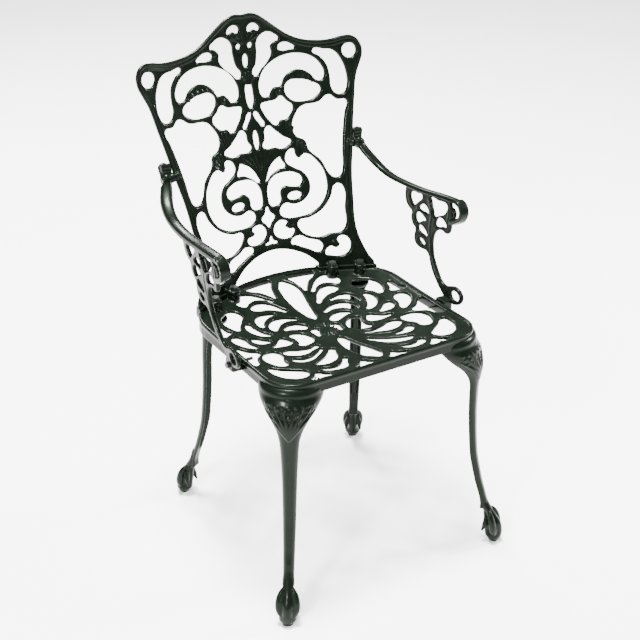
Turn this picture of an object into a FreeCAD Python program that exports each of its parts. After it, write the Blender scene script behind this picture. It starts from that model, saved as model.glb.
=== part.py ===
import FreeCAD, Part
import os
import math

Vector = FreeCAD.Vector
Rotation = FreeCAD.Rotation
Placement = FreeCAD.Placement

doc = FreeCAD.newDocument("garden_armchair")
sheet = doc.addObject("Spreadsheet::Sheet", "Sizes")

# Driving sizes in millimetres, heights from the ground, depths from the middle of the seat
SIZES = [
    ("seat_width", 436, "outside width of the seat casting"),
    ("seat_front", 176, "front edge of the seat ahead of the datum"),
    ("seat_rear", 228, "middle of the rear edge behind the datum"),
    ("front_corner_radius", 58, "plan radius of the seat's front corners"),
    ("rim_height", 444, "middle of the seat plate at its rim"),
    ("bowl_depth", 28.5, "how far the seat dips below its rim"),
    ("rear_rise", 8, "how far the rim climbs towards the back"),
    ("seat_plate", 7, "thickness of the seat's openwork"),
    ("rim_width", 11, "width of the rim rail seen from above"),
    ("rim_proud", 5, "rim rail above the middle of the plate"),
    ("rim_skirt", 19, "rim rail below the middle of the plate"),
    ("rear_skirt", 6, "the same at the back, between the rear legs"),
    ("rear_skirt_half", 146, "half width of that shallow stretch"),
    ("pad_rise", 13, "flat pads under the back, above the rim height"),
    ("pad_width", 17, "width of those pads"),
    ("boss_radius", 15, "bosses that the legs bolt to"),
    ("back_width", 482, "width over the ears of the back"),
    ("back_height", 492.5, "height of the back above its feet"),
    ("back_plate", 9, "thickness of the back's scrollwork"),
    ("back_sweep_low", 24, "lower pull of the back's side profile"),
    ("back_sweep_high", 107.5, "upper pull of the side profile"),
    ("back_lean", 115, "crest behind the foot of the back"),
    ("back_foot_depth", 221, "foot of the back behind the datum"),
    ("bow_foot", 59, "forward bow of the back at its foot"),
    ("bow_crest", 23, "forward bow at its crest"),
    ("bow_relief", 6, "how much flatter the bow is at mid height"),
    ("bow_reach", 200, "half width at which the bow is measured"),
    ("lug_radius", 12, "lugs of the back on the seat"),
    ("lug_thickness", 8, "thickness of the lugs"),
    ("lug_reach", 18, "lug centre ahead of the back's middle"),
    ("inner_lugs", 236, "between the inner pair of lugs"),
    ("outer_lugs", 344, "between the outer pair"),
    ("arm_height", 634.5, "middle of the arm rail at its lowest"),
    ("arm_spacing", 500, "between the middles of the arm rails"),
    ("arm_plate", 8, "thickness of the arm's openwork"),
    ("rail_width", 20, "width of the arm rail"),
    ("rail_thickness", 9, "thickness of the arm rail"),
    ("rail_tilt", 16, "outward tilt of the arm rail, degrees"),
    ("arm_toe_in", 3.5, "turn of the arm's openwork, degrees"),
    ("foot_lug_height", 18, "arm foot where it meets the seat rim"),
    ("foot_lug_length", 26, "length of that foot along the rim"),
    ("foot_lug_ahead", 16, "middle of that foot ahead of the datum"),
    ("arm_bolt_height", 690, "bolt from the back's stile to the arm"),
    ("ear_boss_radius", 6.5, "boss in the stile for that bolt"),
    ("ear_boss_length", 13, "length of that boss into the stile"),
    ("arm_boss_radius", 9, "boss of the arm against it"),
    ("arm_boss_length", 25, "length of the arm's boss"),
    ("head_recess", 6, "depth that the head of that bolt is sunk"),
    ("head_recess_radius", 7, "radius of its recess"),
    ("boss_proud", 1, "boss beyond the wall of the stile"),
    ("arm_bolt_bite", 9, "thread of the arm bolts in the castings"),
    ("front_foot_half", 237, "front foot from the middle plane"),
    ("front_foot_ahead", 225.5, "front foot ahead of the datum"),
    ("rear_foot_half", 211.5, "rear foot from the middle plane"),
    ("rear_foot_depth", 246.5, "rear foot behind the datum"),
    ("front_splay", 55, "front legs' turn from sideways, degrees"),
    ("rear_splay", 58, "rear legs' turn from sideways, degrees"),
    ("front_knee_reach", 57, "front knee from its foot, inwards"),
    ("rear_knee_reach", 63, "rear knee from its foot, inwards"),
    ("leg_wall", 5, "wall of the leg casting"),
    ("flange_thickness", 7, "top flange of each leg"),
    ("front_flange_radius", 25, "top flange of the front legs"),
    ("rear_flange_radius", 24, "top flange of the rear legs"),
    ("front_bolt_reach", 90, "front leg bolt from its foot, inwards"),
    ("rear_bolt_reach", 92, "rear leg bolt from its foot, inwards"),
    ("foot_inset", 2, "middle of the foot's sole inwards of the foot"),
    ("glide_radius", 10, "glide under each foot"),
    ("glide_height", 3, "height of the glide below the foot"),
    ("spigot_radius", 4, "spigot of the glide"),
    ("spigot_height", 9, "height of the spigot in the foot"),
    ("leg_bolt", 10, "diameter of the leg bolts"),
    ("leg_bolt_depth", 12, "depth of the leg bolts in the seat"),
    ("lug_bolt", 8, "diameter of the bolts in the back's lugs"),
    ("lug_bolt_bite", 12, "thread of those bolts in the seat"),
    ("arm_bolt", 6, "diameter of the arm bolts"),
    ("washer", 1.5, "thickness of every washer"),
    ("hole_clearance", 0.3, "hole radius over its bolt"),
    ("flat_length", 15, "length of the flats along the openings"),
    ("depth_centre", 49.25, "middle of the chair behind the datum"),
]
for row, (alias, value, note) in enumerate(SIZES, start=1):
    sheet.set("A%d" % row, alias)
    sheet.set("B%d" % row, str(value))
    sheet.set("C%d" % row, note)
    sheet.setAlias("B%d" % row, alias)
doc.recompute()


def size(alias):
    return float(sheet.get(alias))


def add(kind, name, **values):
    made = doc.addObject(kind, name)
    for key, value in values.items():
        setattr(made, key, value)
    return made


def bind(made, prop, expression):
    made.setExpression(prop, expression)
    return made


def feature(name, shape):
    made = doc.addObject("Part::Feature", name)
    made.Shape = shape
    return made


def slope(before, here, after):
    back = here - before
    ahead = after - here
    share = back.Length / (back.Length + ahead.Length)
    return back / back.Length * (1 - share) + ahead / ahead.Length * share


def smooth_curve(points, closed):
    places = [Vector(*p) for p in points]
    if closed:
        ring = [places[-1]] + places + places[:2]
        places.append(places[0])
        slopes = [slope(*ring[k:k + 3]) for k in range(len(places))]
    else:
        slopes = [slope(*places[k:k + 3]) for k in range(len(places) - 2)]
        slopes = [places[1] - places[0]] + slopes + [places[-1] - places[-2]]
        slopes = [vector / vector.Length for vector in slopes]
    knots = [0.0]
    for before, here in zip(places, places[1:]):
        knots.append(knots[-1] + (here - before).Length)
    curve = Part.BSplineCurve()
    curve.interpolate(Points=places, Parameters=knots, Tangents=slopes,
                      TangentFlags=[True] * len(places), Scale=False)
    return curve.toShape()


def ellipse(centre, half_x, half_y, steps=8):
    turns = [2 * math.pi * k / steps for k in range(steps)]
    return [(centre[0] + half_x * math.cos(a), centre[1] + half_y * math.sin(a)) for a in turns]


def mirrored(points):
    return [(-x, y) for x, y in reversed(points)]


# Seat, seen from above: openings of the right half, x to the side and y to the back
SEAT_DRAWN_WIDTH = 436
SEAT_DRAWN_DEPTH = 404
SEAT_AXIS_OPENINGS = {
    "teardrop": [(0, 70), (7, 75), (11, 92), (18, 130), (23.5, 158), (23, 176), (15, 193), (0, 203)],
    "front_petal": [(0, -12), (7, -16), (10, -30), (13.5, -60), (17, -85), (18.5, -112), (16, -134), (0, -146)],
}
SEAT_SIDE_OPENINGS = {
    "rear_gap": [(21, 216), (50, 213), (80, 207), (73, 195), (54, 183), (39, 164), (34.5, 158), (32, 168),
                 (27.5, 188)],
    "rear_petal_1": [(45, 150), (54, 164), (68, 178), (82, 187), (97, 189), (110, 181), (117, 168), (111, 154),
                     (104, 152), (94, 160), (78, 165.5), (60, 161)],
    "rear_petal_2": [(36, 113), (42, 128), (55, 146), (74, 155), (91, 151), (98, 140), (90, 133), (68, 130),
                     (48, 120)],
    "rear_petal_3": [(62, 111), (78, 118), (93, 118), (106, 111), (113, 93), (110, 79), (105, 78), (100, 91),
                     (84, 105), (72, 110)],
    "rear_petal_4": [(30, 83), (40, 91), (60, 97.5), (78, 95), (92, 83), (97, 67), (91, 59.5), (83, 66), (70, 78),
                     (50, 84)],
    "rear_petal_5": [(74, 56), (64, 67), (48, 70.5), (34, 65), (26, 54), (33, 46), (50, 50), (62, 54)],
    "corner_bean": [(144, 147), (158, 139), (170, 127), (175, 111), (170, 88), (160, 77), (150, 92), (137, 110),
                    (127, 128), (133, 143)],
    "edge_triangle": [(192, 101), (184, 82), (178, 73), (189, 63), (202, 57), (199, 78)],
    "crescent": [(131, 97), (139, 91), (142, 76), (136, 58), (120, 45.5), (107, 48), (117, 61), (126, 82)],
    "side_bean": [(179, 55), (190, 49), (194, 36), (188, 18), (175, 6), (160, 3), (160, 13), (166, 27), (168, 45)],
    "half_moon": [(151, 43), (156, 32), (149, 20), (134, 18.5), (121, 26), (130, 33)],
    "long_triangle": [(97, 31), (88, 22), (85, 9), (98, 0), (118, -2), (132, 0), (118, 11), (107, 23)],
    "hook": [(73, 38.5), (56, 38), (43, 24), (42, 4), (58, -10), (80, -10), (74, 3), (74, 20), (78, 32)],
    "spike": [(29, 36), (14.5, 39), (19, 22), (25, 9.5), (29, 22)],
    "long_bean": [(150, -18), (139, -19), (134, -36), (144, -60), (147, -81), (160, -85), (174, -66), (176, -44),
                  (165, -25)],
    "front_petal_1": [(50, -22), (68, -27), (92, -25), (115, -20), (128, -33), (118, -46), (96, -51), (74, -41)],
    "front_petal_2": [(50, -41), (66, -51), (88, -65), (108, -68), (125, -60), (131, -68), (120, -82), (100, -82),
                      (76, -66), (60, -52)],
    "front_petal_3": [(38, -50), (52, -62), (72, -81), (94, -96), (106, -104), (94, -113.5), (72, -110), (54, -95),
                      (43, -73)],
    "front_petal_4": [(45, -105), (58, -119), (76, -133), (92, -133), (108, -126), (108, -139), (90, -149), (68, -148),
                      (54, -127)],
    "corner_hole": [(189, -83), (170, -95), (150, -108), (136, -121), (139, -138), (154, -146), (173, -140),
                    (188, -121), (193, -99)],
    "edge_gap": [(124, -138), (134, -149), (147, -161), (125, -163), (104, -161), (114, -149)],
    "middle_gap": [(31, -138), (41, -149), (57, -161), (35, -163), (15, -160), (24, -149)],
    "side_gap": [(205, 8), (209, -28), (206, -66), (197, -64), (187, -40), (169, -14), (186, -5)],
}


def seat_point(x, y):
    depth = (size("seat_front") + size("seat_rear")) / SEAT_DRAWN_DEPTH
    return Vector(x * size("seat_width") / SEAT_DRAWN_WIDTH, y * depth, 0)


def seat_outline(inset):
    half = size("seat_width") / 2 - inset
    front = -size("seat_front") + inset
    rear = size("seat_rear") - inset
    radius = size("front_corner_radius") - inset
    corner = math.sqrt(0.5) * radius
    side_end = seat_point(0, 100).y
    rear_corner = seat_point(165, 190)
    shoulder = seat_point(203.5, 154)
    shift = inset * math.sqrt(0.5)
    rear_corner = Vector(rear_corner.x - shift * 0.6, rear_corner.y - shift * 1.2, 0)
    shoulder = Vector(shoulder.x - shift * 1.15, shoulder.y - shift * 0.75, 0)
    edges = []
    for side in (1, -1):
        start = Vector(side * (half - radius), front, 0)
        middle = Vector(side * (half - radius + corner), front + radius - corner, 0)
        turned = Vector(side * half, front + radius, 0)
        back = Vector(side * half, side_end, 0)
        knee = Vector(side * shoulder.x, shoulder.y, 0)
        last = Vector(side * rear_corner.x, rear_corner.y, 0)
        edges.append(Part.Arc(start, middle, turned).toShape())
        edges.append(Part.LineSegment(turned, back).toShape())
        edges.append(Part.Arc(back, knee, last).toShape())
    edges.append(Part.LineSegment(Vector(radius - half, front, 0), Vector(half - radius, front, 0)).toShape())
    left = Vector(-rear_corner.x, rear_corner.y, 0)
    edges.append(Part.Arc(left, Vector(0, rear, 0), rear_corner).toShape())
    return Part.Wire(Part.__sortEdges__(edges))


def flats(points, place):
    """Smooth closed curve through the drawn points as short flats, set at its real size by the place."""
    curve = smooth_curve(points, True)
    count = max(8, round(curve.Length / size("flat_length")))
    corners = [place(corner.x, corner.y) for corner in curve.discretize(Number=count + 1)[:-1]]
    return Part.makePolygon(corners + corners[:1])


def drawn_edge(points, place):
    """Corners of the flats along the smooth open curve through the drawn points."""
    curve = smooth_curve(points, False)
    count = round(curve.Length / size("flat_length"))
    return [place(corner.x, corner.y) for corner in curve.discretize(Number=count + 1)]


def laid_on(patch, wires, to_patch):
    """Face of the patch inside the first flat wire and outside the others."""
    laid = []
    for wire in wires:
        edges = []
        for edge in wire.OrderedEdges:
            flat = edge.Curve.toBSpline(edge.FirstParameter, edge.LastParameter)
            poles = [to_patch(pole) for pole in flat.getPoles()]
            curve = Part.Geom2d.BSplineCurve2d()
            curve.buildFromPolesMultsKnots(poles, flat.getMultiplicities(), flat.getKnots(), False,
                                           flat.Degree, flat.getWeights())
            edges.append(curve.toShape(patch))
        laid.append(Part.Wire(Part.__sortEdges__(edges)))
    face = Part.Face(patch, laid[0])
    face.validate()
    face.cutHoles(laid[1:])
    face.validate()
    return face


def curved_plate(face, through):
    """Solid plate of the face, moved half of the vector each way."""
    upper = face.copy()
    upper.translate(through * -0.5)
    lower = upper.copy()
    lower.translate(through)
    sides = [upper, lower]
    for edge in upper.Edges:
        start = edge.Vertexes[0].Point
        end = edge.Vertexes[-1].Point
        normal = (end - start).cross(through)
        bulge = abs((edge.CenterOfMass - start) * normal) / max(normal.Length, 1e-9)
        if bulge < 1e-4:
            other = edge.copy()
            other.translate(through)
            joins = [Part.LineSegment(start, start + through).toShape(),
                     Part.LineSegment(end, end + through).toShape()]
            sides.append(Part.Face(Part.Wire(Part.__sortEdges__([edge, other] + joins))))
        else:
            sides.append(edge.extrude(through))
    skin = Part.Compound(sides)
    skin.sewShape()
    return Part.Solid(skin.Shells[0])


def cylinder(name, radius, height, base, direction=(0, 0, 1)):
    made = add("Part::Cylinder", name)
    bind(made, "Radius", radius)
    bind(made, "Height", height)
    made.Placement = Placement(Vector(*base), Rotation(Vector(0, 0, 1), Vector(*direction)))
    return made


def prism(name, sides, radius, height, base):
    made = add("Part::Prism", name, Polygon=sides)
    bind(made, "Circumradius", radius)
    bind(made, "Height", height)
    made.Placement = Placement(Vector(*base), Rotation())
    return made


def extrusion(name, base, direction, forward, backward="0"):
    made = add("Part::Extrusion", name, Base=base, DirMode="Custom", Dir=Vector(*direction), Solid=True)
    bind(made, "LengthFwd", forward)
    bind(made, "LengthRev", backward)
    return made


def fuse(name, shapes):
    return add("Part::MultiFuse", name, Shapes=shapes, Refine=False)


def cut(name, base, tools):
    group = add("Part::Compound", name + "_tools", Links=tools)
    return add("Part::Cut", name, Base=base, Tool=group, Refine=False)


def mirror(name, source):
    return add("Part::Mirroring", name, Source=source, Base=Vector(0, 0, 0), Normal=Vector(1, 0, 0))


parts = []


def keep(made, label, settled=False):
    """Name a finished sub-part and set it with the chair's middle on the origin."""
    made.Label = label
    if not settled:
        bind(made, "Placement.Base.y", "-Sizes.depth_centre")
    parts.append(made)
    return made


# Seat casting: a dished openwork plate, its rim rail, the pads under the back and the leg bosses
BACK_DRAWN_WIDTH = 480
BACK_FOOT_INNER = 96
BACK_FOOT_OUTER = 197.5
seat_half = size("seat_width") / 2 + 4
seat_first = -size("seat_front") - 4
seat_last = size("seat_rear") + 4
rim_bottom = size("rim_height") - size("rim_skirt")
pad_top = size("rim_height") + size("pad_rise")
rear_bottom = size("rim_height") - size("rear_skirt")


def seat_surface():
    bowl_along = (0, 0.5, 2, 0.5, 0)
    rise_along = (0, 0, -0.17, 0.33, 1)
    patch = Part.BezierSurface()
    patch.increase(4, 2)
    for row in range(5):
        y = seat_first + (seat_last - seat_first) * row / 4
        height = size("rim_height") + size("rear_rise") * rise_along[row]
        dip = size("bowl_depth") * bowl_along[row]
        for column, across in enumerate((0, 2, 0)):
            patch.setPole(row + 1, column + 1, Vector(seat_half * (column - 1), y, height - dip * across))
    return patch


def on_seat_patch(pole):
    along = (pole.y - seat_first) / (seat_last - seat_first)
    return FreeCAD.Base.Vector2d(along, (pole.x + seat_half) / (2 * seat_half))


def both_sides(points):
    return points + [(-x, y) for x, y in reversed(points[1:-1])]


def back_pull(a, b, c):
    """Side profile of the back in its three-fold form: equal shares give the depth at that height."""
    foot = size("back_foot_depth")
    low = foot + size("back_sweep_low")
    high = foot + size("back_sweep_high")
    crest = foot + size("back_lean")
    one_of = a * (1 - b) * (1 - c) + b * (1 - a) * (1 - c) + c * (1 - a) * (1 - b)
    two_of = a * b * (1 - c) + a * c * (1 - b) + b * c * (1 - a)
    return foot * (1 - a) * (1 - b) * (1 - c) + low * one_of + high * two_of + crest * a * b * c


def back_bow(a, b, c):
    """Forward bow in the same three-fold form."""
    share = (a + b + c) / 3
    squared = (a * b + b * c + c * a) / 3
    even = size("bow_foot") + (size("bow_crest") - size("bow_foot")) * share
    return even - 4 * size("bow_relief") * (share - squared)


def back_depth(x, height):
    share = (height - pad_top) / size("back_height")
    shares = (share, share, share)
    return back_pull(*shares) - back_bow(*shares) * (x / size("bow_reach")) ** 2


seat_wires = [seat_outline(size("rim_width") / 2)]
seat_wires += [flats(both_sides(points), seat_point) for points in SEAT_AXIS_OPENINGS.values()]
for points in SEAT_SIDE_OPENINGS.values():
    seat_wires.append(flats(points, seat_point))
    seat_wires.append(flats(mirrored(points), seat_point))
seat_openwork = feature("seat_openwork", curved_plate(laid_on(seat_surface(), seat_wires, on_seat_patch),
                                                      Vector(0, 0, size("seat_plate"))))

rim_face = feature("rim_face", Part.Face([seat_outline(0), seat_outline(size("rim_width"))],
                                         "Part::FaceMakerBullseye"))
rim_column = extrusion("rim_column", rim_face, (0, 0, 1), "Sizes.rim_height + 30",
                       "Sizes.rim_skirt - Sizes.rim_height")
rim_patch = feature("rim_patch", seat_surface().toShape())
rim_slab = extrusion("rim_slab", rim_patch, (0, 0, 1), "Sizes.rim_proud",
                     "Sizes.rim_skirt + Sizes.bowl_depth + 10")
full_rim = add("Part::Common", "full_rim", Base=rim_column, Tool=rim_slab)
rear_relief = add("Part::Box", "rear_relief")
bind(rear_relief, "Length", "Sizes.rear_skirt_half * 2")
bind(rear_relief, "Width", "Sizes.seat_rear / 2")
bind(rear_relief, "Height", "Sizes.rim_skirt - Sizes.rear_skirt + 1")
rear_relief.Placement = Placement(Vector(-size("rear_skirt_half"), size("seat_rear") / 2 + 5, rim_bottom - 1),
                                  Rotation())
seat_rim = cut("seat_rim", full_rim, [rear_relief])


def foot_line(offset, first, last):
    steps = [first + (last - first) * k / 4 for k in range(5)]
    return [Vector(x, back_depth(x, pad_top) + offset, 0) for x in steps]


def foot_strip(side, half_width, first, last):
    ahead = foot_line(-half_width, first, last)
    behind = foot_line(half_width, last, first)
    face = Part.Face(Part.makePolygon(ahead + behind + ahead[:1]))
    if side < 0:
        face = face.mirror(Vector(0, 0, 0), Vector(1, 0, 0))
    return face


def lug_place(spacing):
    """Middle of a lug, square off the bowed foot of the back."""
    x = size(spacing) / 2
    turn = math.atan(2 * size("bow_foot") * x / size("bow_reach") ** 2)
    return Vector(x - size("lug_reach") * math.sin(turn),
                  back_depth(x, pad_top) - size("lug_reach") * math.cos(turn), 0), math.degrees(turn)


seat_pieces = [seat_openwork, seat_rim]
rim_middle = size("rim_height") + (size("rim_proud") - size("rim_skirt")) / 2
for side, word in ((1, "right"), (-1, "left")):
    drawn_scale = size("back_width") / BACK_DRAWN_WIDTH
    strip = feature("pad_outline_" + word, foot_strip(side, size("pad_width") / 2,
                                                      BACK_FOOT_INNER * drawn_scale - 4,
                                                      BACK_FOOT_OUTER * drawn_scale + 2))
    strip.Placement = Placement(Vector(0, 0, rear_bottom), Rotation())
    seat_pieces.append(extrusion("pad_" + word, strip, (0, 0, 1), "Sizes.rear_skirt + Sizes.pad_rise"))
    for pair in ("inner", "outer"):
        place, turn = lug_place(pair + "_lugs")
        seat_pieces.append(cylinder("lug_boss_%s_%s" % (pair, word), "Sizes.lug_radius",
                                    "Sizes.rear_skirt + Sizes.pad_rise", (side * place.x, place.y, rear_bottom)))


def from_foot(end, reach):
    """Place on a leg's line, the given distance inwards of its foot."""
    turn = math.radians(size(end + "_splay"))
    if end == "front":
        return Vector(size("front_foot_half") - reach * math.cos(turn),
                      -size("front_foot_ahead") + reach * math.sin(turn), 0)
    return Vector(size("rear_foot_half") - reach * math.cos(turn),
                  size("rear_foot_depth") - reach * math.sin(turn), 0)


seat_holes = []
for end in ("front", "rear"):
    place = from_foot(end, size(end + "_bolt_reach"))
    for side, word in ((1, "right"), (-1, "left")):
        seat_pieces.append(cylinder("leg_boss_%s_%s" % (end, word), "Sizes.boss_radius", "Sizes.rim_skirt",
                                    (side * place.x, place.y, rim_bottom)))
        seat_holes.append(cylinder("leg_hole_%s_%s" % (end, word), "Sizes.leg_bolt / 2 + Sizes.hole_clearance",
                                  "Sizes.leg_bolt_depth + 2", (side * place.x, place.y, rim_bottom - 1)))
for side, word in ((1, "right"), (-1, "left")):
    for pair in ("inner", "outer"):
        place, turn = lug_place(pair + "_lugs")
        seat_holes.append(cylinder("lug_hole_seat_%s_%s" % (pair, word), "Sizes.lug_bolt / 2 + Sizes.hole_clearance",
                                  "Sizes.lug_bolt_bite + 2",
                                  (side * place.x, place.y, pad_top - size("lug_bolt_bite") - 1)))
    seat_holes.append(cylinder("arm_hole_seat_" + word, "Sizes.arm_bolt / 2 + Sizes.hole_clearance",
                              "Sizes.arm_bolt_bite + 1", (side * (size("seat_width") / 2 + 1),
                                                          -size("foot_lug_ahead"), rim_middle), (-side, 0, 0)))
keep(cut("seat", fuse("seat_body", seat_pieces), seat_holes), "seat")


# Back casting: the pattern is drawn flat, half of it, and laid on the bowed and swept surface
BACK_DRAWN_FOOT = 441
BACK_DRAWN_HEIGHT = 492.5
BACK_SIDE = [(197.5, 441), (190, 460), (182.5, 480), (176, 505), (174.5, 530), (178, 570), (184, 620), (192.5, 660),
             (202.5, 710), (213.5, 760), (223, 800), (232, 820), (240, 840), (238, 860), (225, 873.5), (205, 874.5),
             (180, 870), (150, 870), (120, 875.5), (95, 886), (70, 903), (50, 918), (30, 930.5), (15, 933.5),
             (0, 932)]
BACK_ARCH = [(96, 441), (95, 446), (86, 456), (71, 468), (50, 479), (30, 486), (0, 490)]
BACK_AXIS_OPENINGS = {
    "upper_slit": ellipse((0, 847), 6, 13),
    "oval": ellipse((0, 784.5), 8.5, 26.5),
    "lower_slit": ellipse((0, 700), 6, 18.5),
    "diamond": [(0, 574.5), (6, 563), (15, 552), (6.5, 542), (0, 534), (-6.5, 542), (-15, 552), (-6, 563)],
    "small_triangle": [(0, 517.5), (5, 508), (14, 503), (0, 501.5), (-14, 503), (-5, 508)],
}
BACK_SIDE_OPENINGS = {
    "ear": [(229, 848), (224, 858), (214, 860.5), (204, 856), (200.5, 847), (204, 838), (213, 832.5), (224, 836)],
    "window": [(9, 907), (14, 913), (22, 914.5), (30, 911), (35, 904), (33, 899), (27, 901), (21, 902.5), (15, 899),
               (10, 900)],
    "round": ellipse((12.5, 874.5), 5, 5),
    "leaf_gap": [(3, 751), (8, 752), (18, 738), (24, 725), (20, 722), (10, 733), (4, 742)],
    "crest_scroll": [(17, 815), (12, 824), (21, 839), (25, 858), (28, 882), (40, 893), (51, 895.5), (63, 891),
                     (74, 879), (64, 875), (56, 867), (57, 854), (49, 841), (34, 828)],
    "top_bean": [(70, 863), (74, 870), (86, 872.5), (98, 868), (106, 860), (94, 857), (78, 857)],
    "shoulder_loop": [(141, 852), (165, 852.5), (184, 848), (198, 830), (205, 805), (203, 780), (194, 767),
                      (181, 767), (171, 780), (171, 800), (167, 824), (155, 840)],
    "eye_scroll": [(22, 795), (25, 808), (36, 826), (58, 841), (84, 849), (110, 849.5), (138, 841), (155, 825),
                   (161, 805), (153, 794.5), (142, 797), (132, 809), (115, 818), (95, 817), (78, 806), (68, 791),
                   (55, 791), (47, 784), (40, 775), (27, 778)],
    "eye": [(75, 785), (84, 799), (105, 801), (132, 794), (150, 779), (138, 765), (110, 758.5), (86, 765)],
    "neck": [(21, 763), (34, 766.5), (52, 768), (65, 774), (77, 763), (88, 752), (80, 736), (69, 729), (59, 729),
             (50, 720.5), (33, 734), (24, 749)],
    "side_upper": [(197, 754), (178, 757), (164, 767), (140, 755), (104, 750), (91, 738), (80, 714), (86, 696),
                   (102, 686), (106, 670), (128, 646), (140, 620), (150, 611.5), (162, 614), (169.5, 630),
                   (174, 660), (182.5, 700), (190.5, 730)],
    "waist": [(30, 722.5), (21, 716), (18, 698), (12, 687), (20, 680), (40, 680), (52, 676), (68, 682), (74, 687),
              (58, 699), (42, 713)],
    "great_scroll": [(56, 662), (64, 672), (76, 673), (78, 662), (82, 655.5), (97, 662), (120, 645), (133, 612),
                     (125, 575), (100, 552), (66, 544), (38, 547), (27, 558), (38, 574), (62, 570), (88, 581),
                     (98, 602), (90, 626), (70, 639), (56, 651)],
    "inner_scroll": [(6, 590), (9, 612), (22, 627), (45, 632.5), (70, 629), (84, 616), (77, 603), (62, 603),
                     (45, 606), (35, 597), (33, 579), (22, 572), (10, 575)],
    "scroll_eye": ellipse((63, 586), 15, 8),
    "heart": [(6, 622), (14, 645), (28, 658), (42, 664), (48, 654), (53, 642), (38, 639), (22, 631)],
    "low_curl": [(8, 527), (18, 542), (32, 543), (40, 537), (35, 530), (42, 525), (52, 523), (51, 513), (38, 506),
                 (22, 509), (11, 517)],
    "foot_bean": [(42, 497), (58, 508.5), (78, 500), (104, 489), (107, 478), (99, 470), (80, 478), (56, 489)],
    "side_lower": [(62, 535), (65, 519), (82, 505), (103, 499.5), (122, 504), (148, 507.5), (157.5, 520),
                   (160, 550), (164.5, 588), (157, 599), (146, 598), (136, 578), (115, 554), (88, 541)],
    "foot_curl": [(110, 466), (122, 460.5), (138, 458.5), (154, 465), (161, 480), (157, 494), (146, 499.5),
                  (136, 494), (139, 482), (132, 476), (121, 480)],
}
back_low_share = -0.04
back_high_share = 1.04
back_half = size("back_width") / 2 + 5


def back_point(x, height):
    """Point of the flat pattern at its real size, seen square on."""
    return Vector(x * size("back_width") / BACK_DRAWN_WIDTH,
                  pad_top + (height - BACK_DRAWN_FOOT) * size("back_height") / BACK_DRAWN_HEIGHT, 0)


def back_surface():
    patch = Part.BezierSurface()
    patch.increase(3, 2)
    edge_bow = (back_half / size("bow_reach")) ** 2
    for row in range(4):
        turns = [back_high_share] * row + [back_low_share] * (3 - row)
        share = sum(turns) / 3
        for column, across in enumerate((1, -1, 1)):
            depth = back_pull(*turns) - back_bow(*turns) * edge_bow * across
            patch.setPole(row + 1, column + 1, Vector(back_half * (column - 1), depth,
                                                      pad_top + share * size("back_height")))
    return patch


def on_back_patch(pole):
    share = (pole.y - pad_top) / size("back_height")
    return FreeCAD.Base.Vector2d((share - back_low_share) / (back_high_share - back_low_share),
                                 (pole.x + back_half) / (2 * back_half))


def back_outline():
    side = BACK_SIDE + mirrored(BACK_SIDE[:-1])
    arch = [(-x, y) for x, y in BACK_ARCH[:-1]] + BACK_ARCH[::-1]
    corners = drawn_edge(side, back_point) + drawn_edge(arch, back_point)
    return Part.makePolygon(corners + corners[:1])


back_wires = [back_outline()]
back_wires += [flats(points, back_point) for points in BACK_AXIS_OPENINGS.values()]
for points in BACK_SIDE_OPENINGS.values():
    back_wires.append(flats(points, back_point))
    back_wires.append(flats(mirrored(points), back_point))
back_openwork = feature("back_openwork", curved_plate(laid_on(back_surface(), back_wires, on_back_patch),
                                                      Vector(0, size("back_plate"), 0)))

# The stile's outer wall is straight where the arm is bolted on, so the bolt stands square to it
stile_low = back_point(*BACK_SIDE[7])
stile_high = back_point(*BACK_SIDE[8])
stile_slope = (stile_high.x - stile_low.x) / (stile_high.y - stile_low.y)
stile_tilt = math.atan(stile_slope)
stile_x = stile_low.x + (size("arm_bolt_height") - stile_low.y) * stile_slope
ear_place = Vector(stile_x + size("boss_proud"), back_depth(stile_x, size("arm_bolt_height")),
                   size("arm_bolt_height"))


def sided(vector, side):
    return Vector(side * vector.x, vector.y, vector.z)


def ear_axis(side):
    return Vector(side * math.cos(stile_tilt), 0, -math.sin(stile_tilt))


back_pieces = [back_openwork]
back_holes = []
for side, word in ((1, "right"), (-1, "left")):
    for pair in ("inner", "outer"):
        place, turn = lug_place(pair + "_lugs")
        name = "%s_lug_%s" % (pair, word)
        place = Vector(side * place.x, place.y, pad_top)
        disc = cylinder(name + "_disc", "Sizes.lug_radius", "Sizes.lug_thickness", place)
        bridge = add("Part::Box", name + "_bridge")
        bind(bridge, "Length", "Sizes.lug_radius * 1.8")
        bind(bridge, "Width", "Sizes.lug_reach")
        bind(bridge, "Height", "Sizes.lug_thickness")
        heading = Rotation(Vector(0, 0, 1), -side * turn)
        bridge.Placement = Placement(place + heading.multVec(Vector(-0.9 * size("lug_radius"), 0, 0)), heading)
        back_pieces.append(fuse(name, [disc, bridge]))
        back_holes.append(cylinder(name + "_hole", "Sizes.lug_bolt / 2 + Sizes.hole_clearance",
                                   "Sizes.lug_thickness + 2", place - Vector(0, 0, 1)))
    place = sided(ear_place, side)
    back_pieces.append(cylinder("stile_boss_" + word, "Sizes.ear_boss_radius", "Sizes.ear_boss_length", place,
                                ear_axis(side) * -1))
    back_holes.append(cylinder("stile_hole_" + word, "Sizes.arm_bolt / 2 + Sizes.hole_clearance",
                               "Sizes.arm_bolt_bite + 2", place + ear_axis(side), ear_axis(side) * -1))
keep(cut("back_panel", fuse("back_body", back_pieces), back_holes), "back_panel")


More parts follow.
